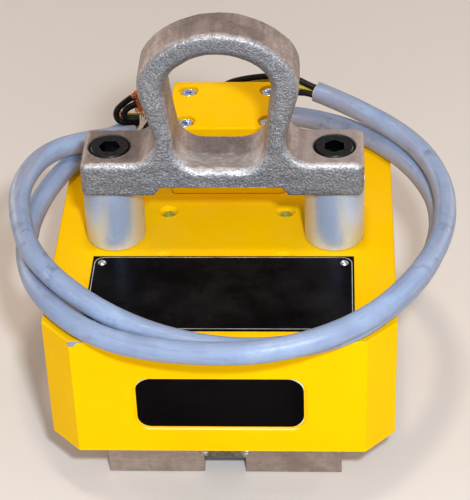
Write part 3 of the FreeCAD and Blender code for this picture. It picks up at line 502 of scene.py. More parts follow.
def column_steel():
    """Zinc plated turned steel: satin and bluish, with a painted warm reflection on its flanks, and faint
    turning rings.
    """
    material, tree, shader = new_finish("column_steel", metallic=0.62)
    rings = cloud(stretched(here(tree), (4.0, 4.0, 900.0)), 2.0, 3.0)
    speckle = grain(tree, 700.0, 2200.0, 0.5)
    flank_reflection = between(reckon("ABSOLUTE", true_normal(tree)["X"]), 0.45, 0.95, 0.0, 0.8)
    colour = layered(
        mix_colours(rings, (0.62, 0.73, 0.98), (0.70, 0.81, 1.0)),
        # Painted reflection: the flanks are drawn warm, as if reflecting the yellow body.
        ((0.66, 0.60, 0.50), flank_reflection),
        ((0.36, 0.39, 0.46), speckle["Shade"], 0.2),
        ((0.40, 0.38, 0.36), patches(tree, 40.0, 0.4, 0.75), 0.12),
    )
    feed(shader, base_color=colour, roughness=mix_values(rings, 0.34, 0.42))
    bump(shader, mix_values(0.4, rings, speckle["Height"]), 0.0001)
    return material


def pole_steel():
    """Bare ground steel with level cutting lines, brown stains and a few bright scratches."""
    material, tree, shader = new_finish("pole_steel", metallic=0.9)
    lines = cloud(stretched(here(tree), (30.0, 30.0, 700.0)), 1.5, 5.0)
    stain = patches(tree, 30.0, 0.45, 0.72)
    colour = layered(
        mix_colours(lines, (0.37, 0.285, 0.24), (0.63, 0.52, 0.455)),
        ((0.26, 0.18, 0.14), stain, 0.6),
        ((0.21, 0.165, 0.145), grain(tree, 260.0, 1100.0, 0.4)["Shade"], 0.4),
        ((0.66, 0.63, 0.60), scratches(tree, 70.0, 0.66), 0.5),
    )
    feed(shader, base_color=colour, roughness=mix_values(stain, 0.40, 0.55))
    bump(shader, lines, 0.00008)
    return material


def plain_metal(name, dark, light, low_rough, high_rough, coarse=400.0, wear_colour=None):
    """A metal finish with fine mottling, and bright edges where a colour for them is given."""
    material, tree, shader = new_finish(name, metallic=1.0)
    mottle = grain(tree, coarse, coarse * 4, 0.4)
    colour = mix_colours(mottle["Shade"], dark, light)
    rough = mix_values(mottle["Shade"], high_rough, low_rough)
    if wear_colour:
        edge_mask = use_group(tree, EDGE_WEAR_AND_HIGHLIGHT, width=OXIDE_EDGE, patchiness=200.0, reach=0.4)["Mask"]
        colour = layered(colour, (wear_colour, edge_mask))
        rough = mix_values(edge_mask, rough, low_rough)
    feed(shader, base_color=colour, roughness=rough)
    bump(shader, mottle["Height"], 0.00008)
    return material


def bright_zinc():
    """Blue passivated zinc on the lid screws, with painted shade, a deeper blue, down in the cross recess.
    """
    material, tree, shader = new_finish("bright_zinc", metallic=1.0)
    mottle = grain(tree, 500.0, 2000.0, 0.4)
    sunk = below(split(here(tree))["Z"], *ZINC_RECESS)
    colour = layered(
        mix_colours(mottle["Shade"], (0.66, 0.70, 0.78), (0.84, 0.87, 0.93)),
        # Painted shade: a deeper blue in the cross recess.
        ((0.16, 0.30, 0.62), sunk),
    )
    feed(shader, base_color=colour, roughness=mix_values(mottle["Shade"], 0.26, 0.14))
    bump(shader, mottle["Height"], 0.00008)
    return material


# Plastics, films, the cable and the floor

BORDER_MIDDLE = (0.0, -0.05985)
BORDER_HALF = (0.0787, 0.03445)
BORDER_CORNER = 0.006
BORDER_LINE = (0.00010, 0.00030)
BLACK_MIDDLE = (-0.00025, 0.07555)
BLACK_HALF = (0.0502, 0.01895)
BLACK_CORNER = 0.0100
BLACK_EDGE = (0.0, 0.00025)
COIL_STREAK = 0.008
BACK_SHADE_FROM = (-0.100, -0.020)
BOX_END_TWIST = (0.030, 0.042)
FREE_END_TWIST = (-0.050, -0.030)


def plain_plastic(name, dark, light, low_rough, high_rough, dusty=0.15, gloss=0.5):
    """A moulded or extruded plastic or rubber with slight mottling and dust."""
    material, tree, shader = new_finish(name, specular_ior_level=gloss)
    mottle = grain(tree, 500.0, 1500.0, 0.5)
    colour = layered(mix_colours(mottle["Shade"], dark, light), ((0.45, 0.43, 0.40), dust_on(tree, dusty)))
    feed(shader, base_color=colour, roughness=mix_values(mottle["Shade"], low_rough, high_rough))
    bump(shader, mottle["Height"], 0.00006)
    return material


def black_film(name, light_share, light_colour):
    """A black plate or film; light_share builds the mask of its light places."""
    material, tree, shader = new_finish(name, specular_ior_level=0.02)
    fade = patches(tree, 18.0, 0.35, 0.7)
    scratch = scratches(tree, 80.0, 0.70)
    colour = layered(
        mix_colours(fade, (0.0018, 0.0012, 0.0014), (0.0038, 0.0028, 0.0033)),
        ((0.5, 0.5, 0.5), scratch, 0.03),
        ((0.4, 0.38, 0.35), dust_on(tree, 0.02)),
        (light_colour, light_share(tree)),
    )
    rough = mix_values(strongest(fade, scratch), 0.26, 0.40)
    feed(shader, base_color=colour, roughness=rough)
    bump(shader, grain(tree, 300.0, 1200.0, 0.4)["Height"], 0.00005, 0.4)
    return material


def plate_border(tree):
    """Thin light line set in a little from the plate's edge, rubbed thinner in places."""
    gap = reckon("ABSOLUTE", outside_rounded(tree, "XY", BORDER_MIDDLE, BORDER_HALF, BORDER_CORNER))
    line = below(gap, *BORDER_LINE)
    return times(line, reckon("ADD", times(patches(tree, 40.0, 0.3, 0.6), 0.5), 0.4))


def label_corners(tree):
    """Light corners of the label, outside a rounded shape that is rounder than the sheet and sits a little
    low.
    """
    return between(outside_rounded(tree, "XZ", BLACK_MIDDLE, BLACK_HALF, BLACK_CORNER), *BLACK_EDGE)


def cable_sheath():
    """Blue sheath, bluest at the front and greyer toward the back in bands, partly painted shade away from
    the front light and partly rubbing; also grey rubbed streaks along the coil, grime and smudges.
    """
    material, tree, shader = new_finish("cable_sheath", specular_ior_level=0.5)
    spot = split(here(tree))
    turn = reckon("ARCTAN2", spot["X"], times(spot["Y"], -1.0))
    level = put(tree, "CombineXYZ", {0: spot["X"], 1: spot["Y"]}).outputs[0]
    radius = put(tree, "VectorMath", {0: level}, operation="LENGTH").outputs["Value"]
    along = put(tree, "CombineXYZ", {0: times(turn, COIL_STREAK), 1: radius, 2: spot["Z"]}).outputs[0]
    streaks = cloud(along, 420.0, 5.0, roughness=0.6)
    bands = cloud(along, 130.0, 4.0)
    back_shade_and_rubbing = times(between(spot["Y"], *BACK_SHADE_FROM, 0.25, 1.0), between(bands, 0.34, 0.64))
    grime = times(patches(tree, 120.0, 0.50, 0.70), patches(tree, 14.0, 0.46, 0.64))
    clean = patches(tree, 30.0, 0.35, 0.7)
    colour = layered(
        mix_colours(clean, (0.218, 0.278, 0.414), (0.276, 0.352, 0.506)),
        # Painted shade with rubbing: the sheath turns greyer toward the back, in bands.
        ((0.245, 0.235, 0.285), back_shade_and_rubbing, 0.7),
        ((0.15, 0.16, 0.205), between(streaks, 0.53, 0.72, 0.0, 0.45)),
        ((0.42, 0.44, 0.50), between(streaks, 0.44, 0.30, 0.0, 0.40)),
        ((0.11, 0.115, 0.16), grime, 0.7),
        ((0.09, 0.10, 0.14), scratches(tree, 130.0, 0.665), 0.45),
        ((0.06, 0.07, 0.12), patches(tree, 75.0, 0.65, 0.72), 0.6),
    )
    skin = grain(tree, 240.0, 1100.0, 0.5)
    feed(shader, base_color=colour, roughness=mix_values(skin["Shade"], 0.34, 0.48))
    bump(shader, skin["Height"], 0.00015)
    return material


def earth_core():
    """Yellow core with a green stripe along it, that twists toward both ends of the cable."""
    material, tree, shader = new_finish("earth_core")
    coordinates = put(tree, "TexCoord").outputs
    along = split(coordinates["Object"])["X"]
    side = split(put(tree, "NewGeometry").outputs["Normal"])
    lean = reckon("ADD", side["Z"], times(side["Y"], 0.6))
    lean = reckon("ADD", lean, between(along, *BOX_END_TWIST, 0.0, 0.7))
    lean = reckon("ADD", lean, between(along, *FREE_END_TWIST, -0.55, 0.0))
    stripe = below(lean, -0.12, -0.02)
    speck = cloud(coordinates["Generated"], 30.0, 3.0)
    colour = layered(
        mix_colours(stripe, (0.74, 0.52, 0.02), (0.01, 0.20, 0.08)),
        ((0.3, 0.28, 0.1), speck, 0.2),
    )
    feed(shader, base_color=colour, roughness=mix_values(speck, 0.3, 0.45))
    return material


def floor_finish():
    material, tree, shader = new_finish("pale_floor", roughness=0.85)
    fade = patches(tree, 3.0, 0.2, 0.8)
    feed(shader, base_color=mix_colours(fade, (0.64, 0.58, 0.53), (0.66, 0.60, 0.55)))
    return material


# All finishes by name: dark colour, light colour, least and most roughness for the plain ones

PLAIN_METALS = {
    "spacer_steel": ((0.13, 0.12, 0.10), (0.29, 0.27, 0.23), 0.34, 0.5),
    "black_oxide": ((0.02, 0.02, 0.022), (0.05, 0.05, 0.052), 0.28, 0.42),
    "weld_steel": ((0.22, 0.21, 0.19), (0.60, 0.58, 0.54), 0.24, 0.42),
    "rivet_aluminium": ((0.55, 0.54, 0.52), (0.74, 0.73, 0.71), 0.24, 0.4),
    "copper": ((0.46, 0.10, 0.03), (0.96, 0.39, 0.17), 0.13, 0.28),
    "alnico": ((0.30, 0.30, 0.31), (0.44, 0.44, 0.45), 0.4, 0.6),
    "rare_earth": ((0.60, 0.60, 0.60), (0.75, 0.75, 0.75), 0.2, 0.32),
    "brass_sheet": ((0.60, 0.44, 0.18), (0.76, 0.58, 0.27), 0.3, 0.45),
    "winding": ((0.45, 0.17, 0.06), (0.65, 0.29, 0.12), 0.25, 0.4),
}
PLAIN_PLASTICS = {
    "thread_steel": ((0.38, 0.34, 0.02), (0.52, 0.47, 0.05), 0.35, 0.5),
    "black_rubber": ((0.014, 0.014, 0.014), (0.03, 0.03, 0.03), 0.6, 0.75),
    # Painted shade: dark brown for the bead that stands in for the shadow line at the foot of the terminal
    # box.
    "painted_seal": ((0.15, 0.05, 0.002), (0.24, 0.09, 0.005), 0.5, 0.65),
    "core_black": ((0.005, 0.005, 0.006), (0.012, 0.012, 0.014), 0.28, 0.42),
    "gland_plastic": ((0.02, 0.02, 0.022), (0.04, 0.04, 0.042), 0.38, 0.5),
    "former_plastic": ((0.62, 0.59, 0.5), (0.74, 0.7, 0.62), 0.5, 0.62),
    "block_plastic": ((0.72, 0.7, 0.6), (0.82, 0.8, 0.72), 0.35, 0.5),
    "cable_filler": ((0.62, 0.58, 0.54), (0.78, 0.75, 0.71), 0.5, 0.65),
}
SPECIAL = {
    "black_oxide": {"wear_colour": (0.25, 0.25, 0.26)},
    "weld_steel": {"coarse": 700.0},
    "painted_seal": {"dusty": 0.02, "gloss": 0.2},
    "core_black": {"dusty": 0.03, "gloss": 0.14},
}
FINISHES = {
    "yellow_paint": yellow_paint(),
    "forged_steel": forged_steel(),
    "column_steel": column_steel(),
    "pole_steel": pole_steel(),
    "bright_zinc": bright_zinc(),
    "cable_grey": cable_sheath(),
    "core_green_yellow": earth_core(),
    "plate_black": black_film("plate_black", plate_border, (0.60, 0.60, 0.60)),
    "label_black": black_film("label_black", label_corners, (0.66, 0.70, 0.76)),
    "pale_floor": floor_finish(),
}
for make_plain, plain_finishes in ((plain_metal, PLAIN_METALS), (plain_plastic, PLAIN_PLASTICS)):
    for finish_name, (dark, light, least_rough, most_rough) in plain_finishes.items():
        FINISHES[finish_name] = make_plain(finish_name, dark, light, least_rough, most_rough,
                                           **SPECIAL.get(finish_name, {}))

for part in frame["record"]["subparts"]:
    part_object = cad_nodes[part["node"]]
    part_object.data.materials.clear()
    part_object.data.materials.append(FINISHES[part["material_slot"]])


# Piece helpers

def add_piece(name, data, finish):
    piece = bpy.data.objects.new(name, data)
    scene.collection.objects.link(piece)
    data.materials.append(FINISHES[finish])
    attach(piece, "root")
    return piece


def mesh_from(build):
    """Run a bmesh building function and give its mesh, smooth shaded."""
    shape = bmesh.new()
    build(shape)
    bmesh.ops.recalc_face_normals(shape, faces=shape.faces)
    mesh = bpy.data.meshes.new("piece")
    shape.to_mesh(mesh)
    shape.free()
    for face in mesh.polygons:
        face.use_smooth = True
    return mesh


def ring(shape, place, radius, height, steps):
    """Corners round an axis; a ring without a radius is a single point. Height may depend on x and y."""
    if radius == 0:
        return [shape.verts.new(place @ Vector((0, 0, height(0, 0))))]
    corners = []
    for step in range(steps):
        angle = math.tau * step / steps
        x = radius * math.cos(angle)
        y = radius * math.sin(angle)
        corners.append(shape.verts.new(place @ Vector((x, y, height(x, y)))))
    return corners


def level_ring(shape, place, radius, height, steps):
    return ring(shape, place, radius, lambda x, y: height, steps)


def bridge(shape, rows):
    """Faces between each row of corners and the next; a row may be a single point."""
    for lower, upper in zip(rows, rows[1:]):
        steps = max(len(lower), len(upper))
        for step in range(steps):
            after = (step + 1) % steps
            if len(lower) == 1:
                shape.faces.new((lower[0], upper[after], upper[step]))
            elif len(upper) == 1:
                shape.faces.new((lower[step], lower[after], upper[0]))
            else:
                shape.faces.new((lower[step], lower[after], upper[after], upper[step]))


def capped_run(shape, rows):
    bridge(shape, rows)
    shape.faces.new(rows[0])
    shape.faces.new(rows[-1])


def lathe(shape, profile, place, steps):
    """Turn a closed half profile of (radius, height) about an axis; place maps it into the object."""
    bridge(shape, [level_ring(shape, place, radius, height, steps) for radius, height in profile])


def smooth_step(value, low, high):
    part = min(max((value - low) / (high - low), 0.0), 1.0)
    return part * part * (3 - 2 * part)


# Lifting bracket: the skin of the CAD solid, made uneven as a forging is, with clean machined bores

FORGE_CELL = 0.0009
FORGE_WAVES = ((0.016, 0.00030), (0.0055, 0.00022), (0.0026, 0.00013))
FOOT_BOTTOM = 0.169
FOOT_HALF = 0.084
FOOT_HALF_DEPTH = 0.022
FOOT_GROWTH = {-1: 0.0004, 1: 0.0018}
FOOT_GROWTH_ZONE = (FOOT_HALF - 0.0018, FOOT_HALF - 0.0002)
FOOT_CORNER = 0.0045
FOOT_HEEL = 0.0035
FACE_LEAN = 0.0707
CLEAN_ROUND_BORE = (0.0140, 0.0170)
CLEAN_BELOW = (FOOT_BOTTOM + 0.0002, FOOT_BOTTOM + 0.0015)
WRINKLES = (
    (WRINKLE_Y, 0.00045, 0.0007),
    (WRINKLE_Y - 0.0042, 0.00025, 0.0006),
    (WRINKLE_Y - 0.0078, 0.0002, 0.0006),
)
WRINKLE_SPAN = (0.014, 0.024)
WRINKLE_RISE = (WINDOW_FLOOR + 0.003, WINDOW_FLOOR + 0.006)
WRINKLE_WANDER = 0.0022
CRUMPLE_HEIGHT = 0.00035
CRUMPLE_FRONT = (WRINKLE_Y - 0.001, WRINKLE_Y + 0.002)
RIM_INNER = BORE_HALF - 0.00003
RIM_BOTTOM = FOOT_TOP - 0.0098
BORE_RIM = [
    (RIM_INNER, RIM_BOTTOM), (RIM_INNER, FOOT_TOP - 0.0005), (BORE_HALF + 0.0003, FOOT_TOP + 0.00002),
    (BORE_HALF + 0.0012, FOOT_TOP + 0.00004), (BORE_HALF + 0.0015, FOOT_TOP - 0.0003),
    (BORE_HALF + 0.0010, RIM_BOTTOM), (RIM_INNER, RIM_BOTTOM),
]
BORE_STEPS = 72


def wrinkle_height(spot):
    """Folds in the scale that run unevenly across the window floor."""
    inside = 1 - smooth_step(abs(spot.x), *WRINKLE_SPAN)
    inside *= 1 - smooth_step(spot.z, *WRINKLE_RISE)
    total = 0.0
    for middle, height, half_width in WRINKLES:
        wander = WRINKLE_WANDER * noise.noise(Vector((spot.x * 95, middle * 900, 0.0)))
        broken = smooth_step(noise.noise(Vector((spot.x * 130, middle * 700, 3.0))), -0.25, 0.15)
        total += height * broken * math.exp(-((spot.y - middle - wander) / half_width) ** 2)
    crumple = noise.noise(Vector((spot.x * 210, spot.y * 520, 7.0)))
    total += CRUMPLE_HEIGHT * crumple * (1 - smooth_step(spot.y, *CRUMPLE_FRONT))
    return total * inside


def rounded_off(across, up, radius):
    """A point given from the centre of a quarter round, pulled back onto it if it lies outside."""
    far = math.hypot(across, up)
    if min(across, up) <= 0 or far <= radius:
        return across, up
    return across * radius / far, up * radius / far


def foot_end(spot):
    """A foot's outer end as forged: a little long, and well rounded at its upright and lower edges."""
    side = 1 if spot.x > 0 else -1
    end = FOOT_HALF + FOOT_GROWTH[side]
    x = abs(spot.x)
    x += FOOT_GROWTH[side] * smooth_step(x, *FOOT_GROWTH_ZONE)
    corner_x = end - FOOT_CORNER
    corner_y = FOOT_HALF_DEPTH - FACE_LEAN * (spot.z - FOOT_BOTTOM) - FOOT_CORNER
    across, along = rounded_off(x - corner_x, abs(spot.y) - corner_y, FOOT_CORNER)
    x = corner_x + across
    y = math.copysign(corner_y + along, spot.y)
    heel_x = end - FOOT_HEEL
    heel_z = FOOT_BOTTOM + FOOT_HEEL
    across, down = rounded_off(x - heel_x, heel_z - spot.z, FOOT_HEEL)
    return Vector((side * (heel_x + across), y, heel_z - down))


def forged_skin():
    """The bracket's mesh in even cells, each corner moved a little along its normal by seeded noise."""
    blank = bpy.data.objects.new("bracket_blank", cad_nodes["lifting_bracket"].data.copy())
    scene.collection.objects.link(blank)
    cells = blank.modifiers.new("cells", "REMESH")
    cells.mode = "VOXEL"
    cells.voxel_size = FORGE_CELL
    mesh = bpy.data.meshes.new_from_object(blank.evaluated_get(bpy.context.evaluated_depsgraph_get()))
    bpy.data.objects.remove(blank)
    low, high = [list(corner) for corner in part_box("lifting_bracket")]
    low[0] -= FOOT_GROWTH[-1]
    high[0] += FOOT_GROWTH[1]
    moved = []
    for vertex in mesh.vertices:
        spot = vertex.co
        reach = min(math.hypot(spot.x - side * COLUMN_X, spot.y) for side in (-1, 1))
        free = smooth_step(reach, *CLEAN_ROUND_BORE) * smooth_step(spot.z, *CLEAN_BELOW)
        push = sum(noise.noise(spot / length) * height for length, height in FORGE_WAVES)
        push += wrinkle_height(spot)
        target = spot + vertex.normal * (push * free)
        if abs(target.x) > FOOT_HALF - FOOT_CORNER:
            target = foot_end(target)
        moved.append([min(max(value, least), most) for value, least, most in zip(target, low, high)])
    for vertex, spot in zip(mesh.vertices, moved):
        vertex.co = spot
    return mesh


def bracket_shape(shape):
    skin = forged_skin()
    shape.from_mesh(skin)
    bpy.data.meshes.remove(skin)
    for side in (-1, 1):
        lathe(shape, BORE_RIM, Matrix.Translation((side * COLUMN_X, 0, 0)), BORE_STEPS)


forged_bracket = add_piece("forged_bracket", mesh_from(bracket_shape), "forged_steel")
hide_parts("lifting_bracket")


# Cable and cores: the routes of the CAD tubes, in metres

CABLE_ROUTE = [
    (0.056, 0.114, 0.157), (0.079, 0.105, 0.152), (0.119, 0.073, 0.146),
    (0.137, 0.025, 0.145), (0.135, -0.027, 0.145), (0.116, -0.074, 0.1455),
    (0.083, -0.114, 0.144), (0.035, -0.132, 0.1385), (-0.017, -0.1286, 0.1345),
    (-0.0657, -0.1154, 0.1328), (-0.104, -0.0784, 0.1318), (-0.123, -0.029, 0.128),
    (-0.122, 0.022, 0.130), (-0.104, 0.071, 0.1315), (-0.072, 0.110, 0.1315),
    (-0.021, 0.124, 0.131), (0.029, 0.129, 0.131), (0.078, 0.111, 0.1315),
    (0.114, 0.074, 0.1315), (0.135, 0.027, 0.130), (0.131, -0.025, 0.130),
    (0.110, -0.071, 0.1315), (0.075, -0.110, 0.1315), (0.024, -0.119, 0.128),
    (-0.0262, -0.1133, 0.1309), (-0.072, -0.0941, 0.139), (-0.1115, -0.0572, 0.1465),
    (-0.127, -0.008, 0.1455), (-0.130, 0.027, 0.145), (-0.119, 0.058, 0.146),
    (-0.0916, 0.0741, 0.146), (-0.06295, 0.08646, 0.141),
]
CORE_ROUTES = {
    "core_upper": [
        (0.05639, 0.11385, 0.15957), (0.05183, 0.11564, 0.16056), (0.04275, 0.1189, 0.16422),
        (0.02672, 0.1245, 0.16294), (0.01055, 0.1276, 0.15924), (-0.00162, 0.1284, 0.15568),
        (-0.0062, 0.126, 0.1534), (-0.009, 0.1214, 0.1526), (-0.009, 0.1155, 0.1526)],
    "core_lower": [
        (0.05474, 0.11202, 0.15526), (0.05018, 0.11381, 0.15625), (0.04203, 0.1164, 0.15467),
        (0.02735, 0.121, 0.15623), (0.01123, 0.124, 0.15475), (-0.00028, 0.1254, 0.15165),
        (-0.0049, 0.1228, 0.1486), (-0.0066, 0.1193, 0.1482), (-0.0066, 0.1155, 0.1482)],
    "core_earth": [
        (0.0566, 0.11656, 0.15565), (0.05204, 0.11835, 0.15664), (0.04331, 0.1212, 0.15744),
        (0.02718, 0.1282, 0.15676), (0.01022, 0.1322, 0.15295), (-0.00336, 0.1326, 0.14913),
        (-0.0092, 0.1284, 0.1492), (-0.0114, 0.1224, 0.1482), (-0.0114, 0.1155, 0.1482)],
    "tail_core_outer": [
        (-0.06333, 0.0863, 0.13843), (-0.05336, 0.09061, 0.13669), (-0.0546, 0.1032, 0.1404),
        (-0.07382, 0.1022, 0.1401), (-0.07724, 0.1034, 0.14628), (-0.07377, 0.105, 0.15247),
        (-0.06545, 0.1065, 0.15773)],
    "tail_core_inner": [
        (-0.06365, 0.08861, 0.14228), (-0.05686, 0.09155, 0.1411), (-0.058, 0.0996, 0.145),
        (-0.0687, 0.0988, 0.14443), (-0.07133, 0.1002, 0.14872), (-0.06833, 0.1018, 0.153),
        (-0.06244, 0.1036, 0.15425)],
    "tail_core_earth": [
        (-0.06185, 0.08448, 0.14228), (-0.04737, 0.09074, 0.13975), (-0.0476, 0.1075, 0.1416),
        (-0.06322, 0.108, 0.14232), (-0.07064, 0.1084, 0.14193)],
}
CABLE_SIZE = 0.0135
CORE_SIZE = 0.0042
CABLE_STEPS = 14
CORE_STEPS = 10
CORD_ROUNDING = 7
STRAND_STEPS = 6
STRAND_ROUNDING = 2


def new_curve(name, size, rounding, steps):
    curve = bpy.data.curves.new(name, "CURVE")
    curve.dimensions = "3D"
    curve.bevel_depth = size / 2
    curve.bevel_resolution = rounding
    curve.resolution_u = steps
    curve.use_fill_caps = True
    return curve


def add_spline(curve, spots):
    spline = curve.splines.new("NURBS")
    spline.points.add(len(spots) - 1)
    for point, spot in zip(spline.points, spots):
        point.co = (*spot, 1.0)
    spline.order_u = 3
    spline.use_endpoint_u = True


def cord_curve(name, route, size, finish, steps):
    curve = new_curve(name, size, CORD_ROUNDING, steps)
    add_spline(curve, route)
    piece = add_piece("show_" + name, curve, finish)
    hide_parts(name)
    return piece


def spline_length(piece):
    """Length of a cord's smooth line, read from its spline without the thickness."""
    plain = piece.data.copy()
    plain.bevel_depth = 0.0
    holder = bpy.data.objects.new("measure", plain)
    mesh = bpy.data.meshes.new_from_object(holder)
    spots = [vertex.co.copy() for vertex in mesh.vertices]
    total = sum((b - a).length for a, b in zip(spots, spots[1:]))
    bpy.data.objects.remove(holder)
    bpy.data.meshes.remove(mesh)
    bpy.data.curves.remove(plain)
    return total


cable = cord_curve("supply_cable", CABLE_ROUTE, CABLE_SIZE, "cable_grey", CABLE_STEPS)
cores = {}
for core_name, core_route in CORE_ROUTES.items():
    core_finish = "core_green_yellow" if "earth" in core_name else "core_black"
    cores[core_name] = cord_curve(core_name, core_route, CORE_SIZE, core_finish, CORE_STEPS)


# Filler that shows round the cores at the sheath's two cut ends

FILLER_PROFILE = [
    (0.0, -0.0004), (0.0050, -0.0004), (0.0050, 0.0004), (0.0042, 0.0011), (0.0030, 0.0008), (0.0, 0.0010),
]
FILLER_STEPS = 28


def sheath_filler(name, end, before):
    heading = (Vector(end) - Vector(before)).normalized()
    place = Matrix.Translation(end) @ heading.to_track_quat("Z", "Y").to_matrix().to_4x4()
    mesh = mesh_from(lambda shape: lathe(shape, FILLER_PROFILE, place, FILLER_STEPS))
    return add_piece(name, mesh, "cable_filler")


fillers = [
    sheath_filler("filler_box_end", CABLE_ROUTE[0], CABLE_ROUTE[1]),
    sheath_filler("filler_free_end", CABLE_ROUTE[-1], CABLE_ROUTE[-2]),
]


# Pale filler fibres that stick up out of the free end

FIBRE_SIZE = 0.00055
FIBRE_COUNT = 17


def filler_fibres():
    """A fan of fibres; across runs over the fan, sway and lean set each fibre off from its neighbours."""
    curve = new_curve("filler_fibres", FIBRE_SIZE, STRAND_ROUNDING, STRAND_STEPS)
    for index in range(FIBRE_COUNT):
        across = index / (FIBRE_COUNT - 1)
        sway = math.sin(index * 2.1)
        lean = math.cos(index * 1.3)
        add_spline(curve, [
            (-0.0624 + 0.0004 * across, 0.0866 + 0.0006 * sway, 0.1424 + 0.0008 * across),
            (-0.0602 + 0.0016 * across, 0.0884 + 0.0008 * sway, 0.1450 + 0.0006 * sway),
            (-0.0594 + 0.0034 * across, 0.0922 + 0.0010 * lean, 0.1465 + 0.0009 * sway),
            (-0.0598 + 0.0056 * across, 0.0962 + 0.0014 * sway, 0.1488 + 0.0020 * lean),
        ])
    return curve


fillers.append(add_piece("filler_fibres", filler_fibres(), "cable_filler"))


# Bare strands at the free cores, bent over and drooping as one loose bunch

STRAND_SIZE = 0.00045
STRAND_COUNT = 34
STRAND_WANDER = 0.0014
STRAND_INSIDE = 0.001
BUNCH_START = 0.0017
BUNCH_MIDDLE = 1.8
BUNCH_SPREAD = 2.3
GOLDEN_TURN = 2.399963
STRAND_BENDS = {
    "tail_core_outer": [(-0.0628, 0.1072, 0.1604), (-0.0607, 0.1078, 0.1465)],
    "tail_core_inner": [(-0.05982, 0.1038, 0.15497), (-0.05928, 0.103, 0.14749)],
    "tail_core_earth": [(-0.0726, 0.1085, 0.1418), (-0.0744, 0.1086, 0.1413)],
}


def copper_strands():
    """Each strand leaves the core's end, turns at the bend and spreads out of the bunch toward its tip."""
    curve = new_curve("copper_strands", STRAND_SIZE, STRAND_ROUNDING, STRAND_STEPS)
    for tail, bends in STRAND_BENDS.items():
        before, start = [Vector(spot) for spot in CORE_ROUTES[tail][-2:]]
        corner, tip = [Vector(spot) for spot in bends]
        inward = (before - start).normalized() * STRAND_INSIDE
        first = (corner - start).normalized()
        second = (tip - corner).normalized()
        across = first.cross(second).normalized()
        first_rise = across.cross(first)
        second_rise = across.cross(second)
        for index in range(STRAND_COUNT):
            radius = BUNCH_START * math.sqrt((index + 0.5) / STRAND_COUNT)
            angle = GOLDEN_TURN * index
            aside = across * (radius * math.cos(angle))
            rise = radius * math.sin(angle)
            at_start = aside + first_rise * rise
            at_corner = aside + (first_rise + second_rise) * (rise / (1 + first_rise.dot(second_rise)))
            at_end = aside + second_rise * rise
            wander = across * (STRAND_WANDER * math.sin(index * 1.9))
            wander += second_rise * (STRAND_WANDER * math.cos(index * 2.7))
            end = corner.lerp(tip, 0.82 + 0.18 * math.sin(index * 3.1))
            add_spline(curve, [
                start + inward + at_start,
                start + at_start,
                corner + at_corner + wander * 0.6,
                corner.lerp(end, 0.55) + at_end * BUNCH_MIDDLE - wander * 1.4,
                end + at_end * BUNCH_SPREAD + wander,
            ])
    return curve


strands = add_piece("copper_strands", copper_strands(), "copper")
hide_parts("tail_copper")

spline_length(cores["core_lower"])
spline_length(cores["core_earth"])
spline_length(cores["core_upper"])
spline_length(cable)
spline_length(cores["tail_core_outer"])
spline_length(cores["tail_core_inner"])
spline_length(cores["tail_core_earth"])


# Lid screws: domed heads with a cross recess

LID_SEAT = 0.1713
LID_SCREWS = ((-0.026, 0.052, 0.35), (0.026, 0.052, 1.1), (-0.026, 0.088, 0.8), (0.026, 0.088, 0.15))
HEAD_HALF = 0.0053
HEAD_HEIGHT = 0.0026
HEAD_EDGE = 0.0009
HEAD_DROP = 0.0009
HEAD_ROUND = 0.0007
SHANK_HALF = 0.00295
SHANK_LENGTH = 0.022
CROSS_HALF_LENGTH = 0.0031
CROSS_HALF_WIDTH = 0.00085
CROSS_SLOPE = 0.00022
CROSS_END = 0.0006
CROSS_DEPTH = 0.0019
HEAD_RINGS = 30
HEAD_STEPS = 72


def head_height(x, y):
    """Height of a screw head over its seat, with the cross cut into the dome."""
    radius = math.hypot(x, y)
    dome = HEAD_HEIGHT - HEAD_DROP * (radius / HEAD_HALF) ** 2
    height = HEAD_EDGE + (dome - HEAD_EDGE) * smooth_step(HEAD_HALF - radius, 0.0, HEAD_ROUND)
    cut = 0.0
    for along, beside in ((abs(x), abs(y)), (abs(y), abs(x))):
        narrow = CROSS_HALF_WIDTH * (1.25 - 0.35 * along / CROSS_HALF_LENGTH)
        inside = 1 - smooth_step(beside, narrow, narrow + CROSS_SLOPE)
        inside *= 1 - smooth_step(along, CROSS_HALF_LENGTH - CROSS_END, CROSS_HALF_LENGTH)
        cut = max(cut, inside)
    return height - cut * CROSS_DEPTH


def lid_screw(shape, place):
    rows = []
    for index in range(HEAD_RINGS + 1):
        rows.append(ring(shape, place, HEAD_HALF * index / HEAD_RINGS, head_height, HEAD_STEPS))
    for radius, height in ((HEAD_HALF, 0.0), (SHANK_HALF, 0.0), (SHANK_HALF, -SHANK_LENGTH)):
        rows.append(level_ring(shape, place, radius, height, HEAD_STEPS))
    bridge(shape, rows)
    shape.faces.new(rows[-1])


def all_lid_screws(shape):
    for x, y, turn in LID_SCREWS:
        lid_screw(shape, Matrix.Translation((x, y, LID_SEAT)) @ Matrix.Rotation(turn, 4, "Z"))


lid_screws = add_piece("lid_cross_screws", mesh_from(all_lid_screws), "bright_zinc")
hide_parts("lid_screws")


# Rivets with smooth domed heads

ROOF = 0.124
RIVET_SPOTS = ((-0.0741, -0.0314), (0.0741, -0.0314), (-0.0741, -0.090), (0.0741, -0.090))
RIVET_PROFILE = [
    (0.0, -0.006), (0.00145, -0.006), (0.00145, 0.00102), (0.0027, 0.00102), (0.00268, 0.00125),
    (0.00252, 0.00160), (0.00222, 0.00192), (0.0018, 0.00218), (0.0013, 0.00236), (0.0007, 0.00247),
    (0.0, 0.0025),
]
RIVET_STEPS = 36


def all_rivets(shape):
    for x, y in RIVET_SPOTS:
        lathe(shape, RIVET_PROFILE, Matrix.Translation((x, y, ROOF)), RIVET_STEPS)


rivets = add_piece("domed_rivets", mesh_from(all_rivets), "rivet_aluminium")
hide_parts("nameplate_rivets")


# Thread turns inside the four accessory holes

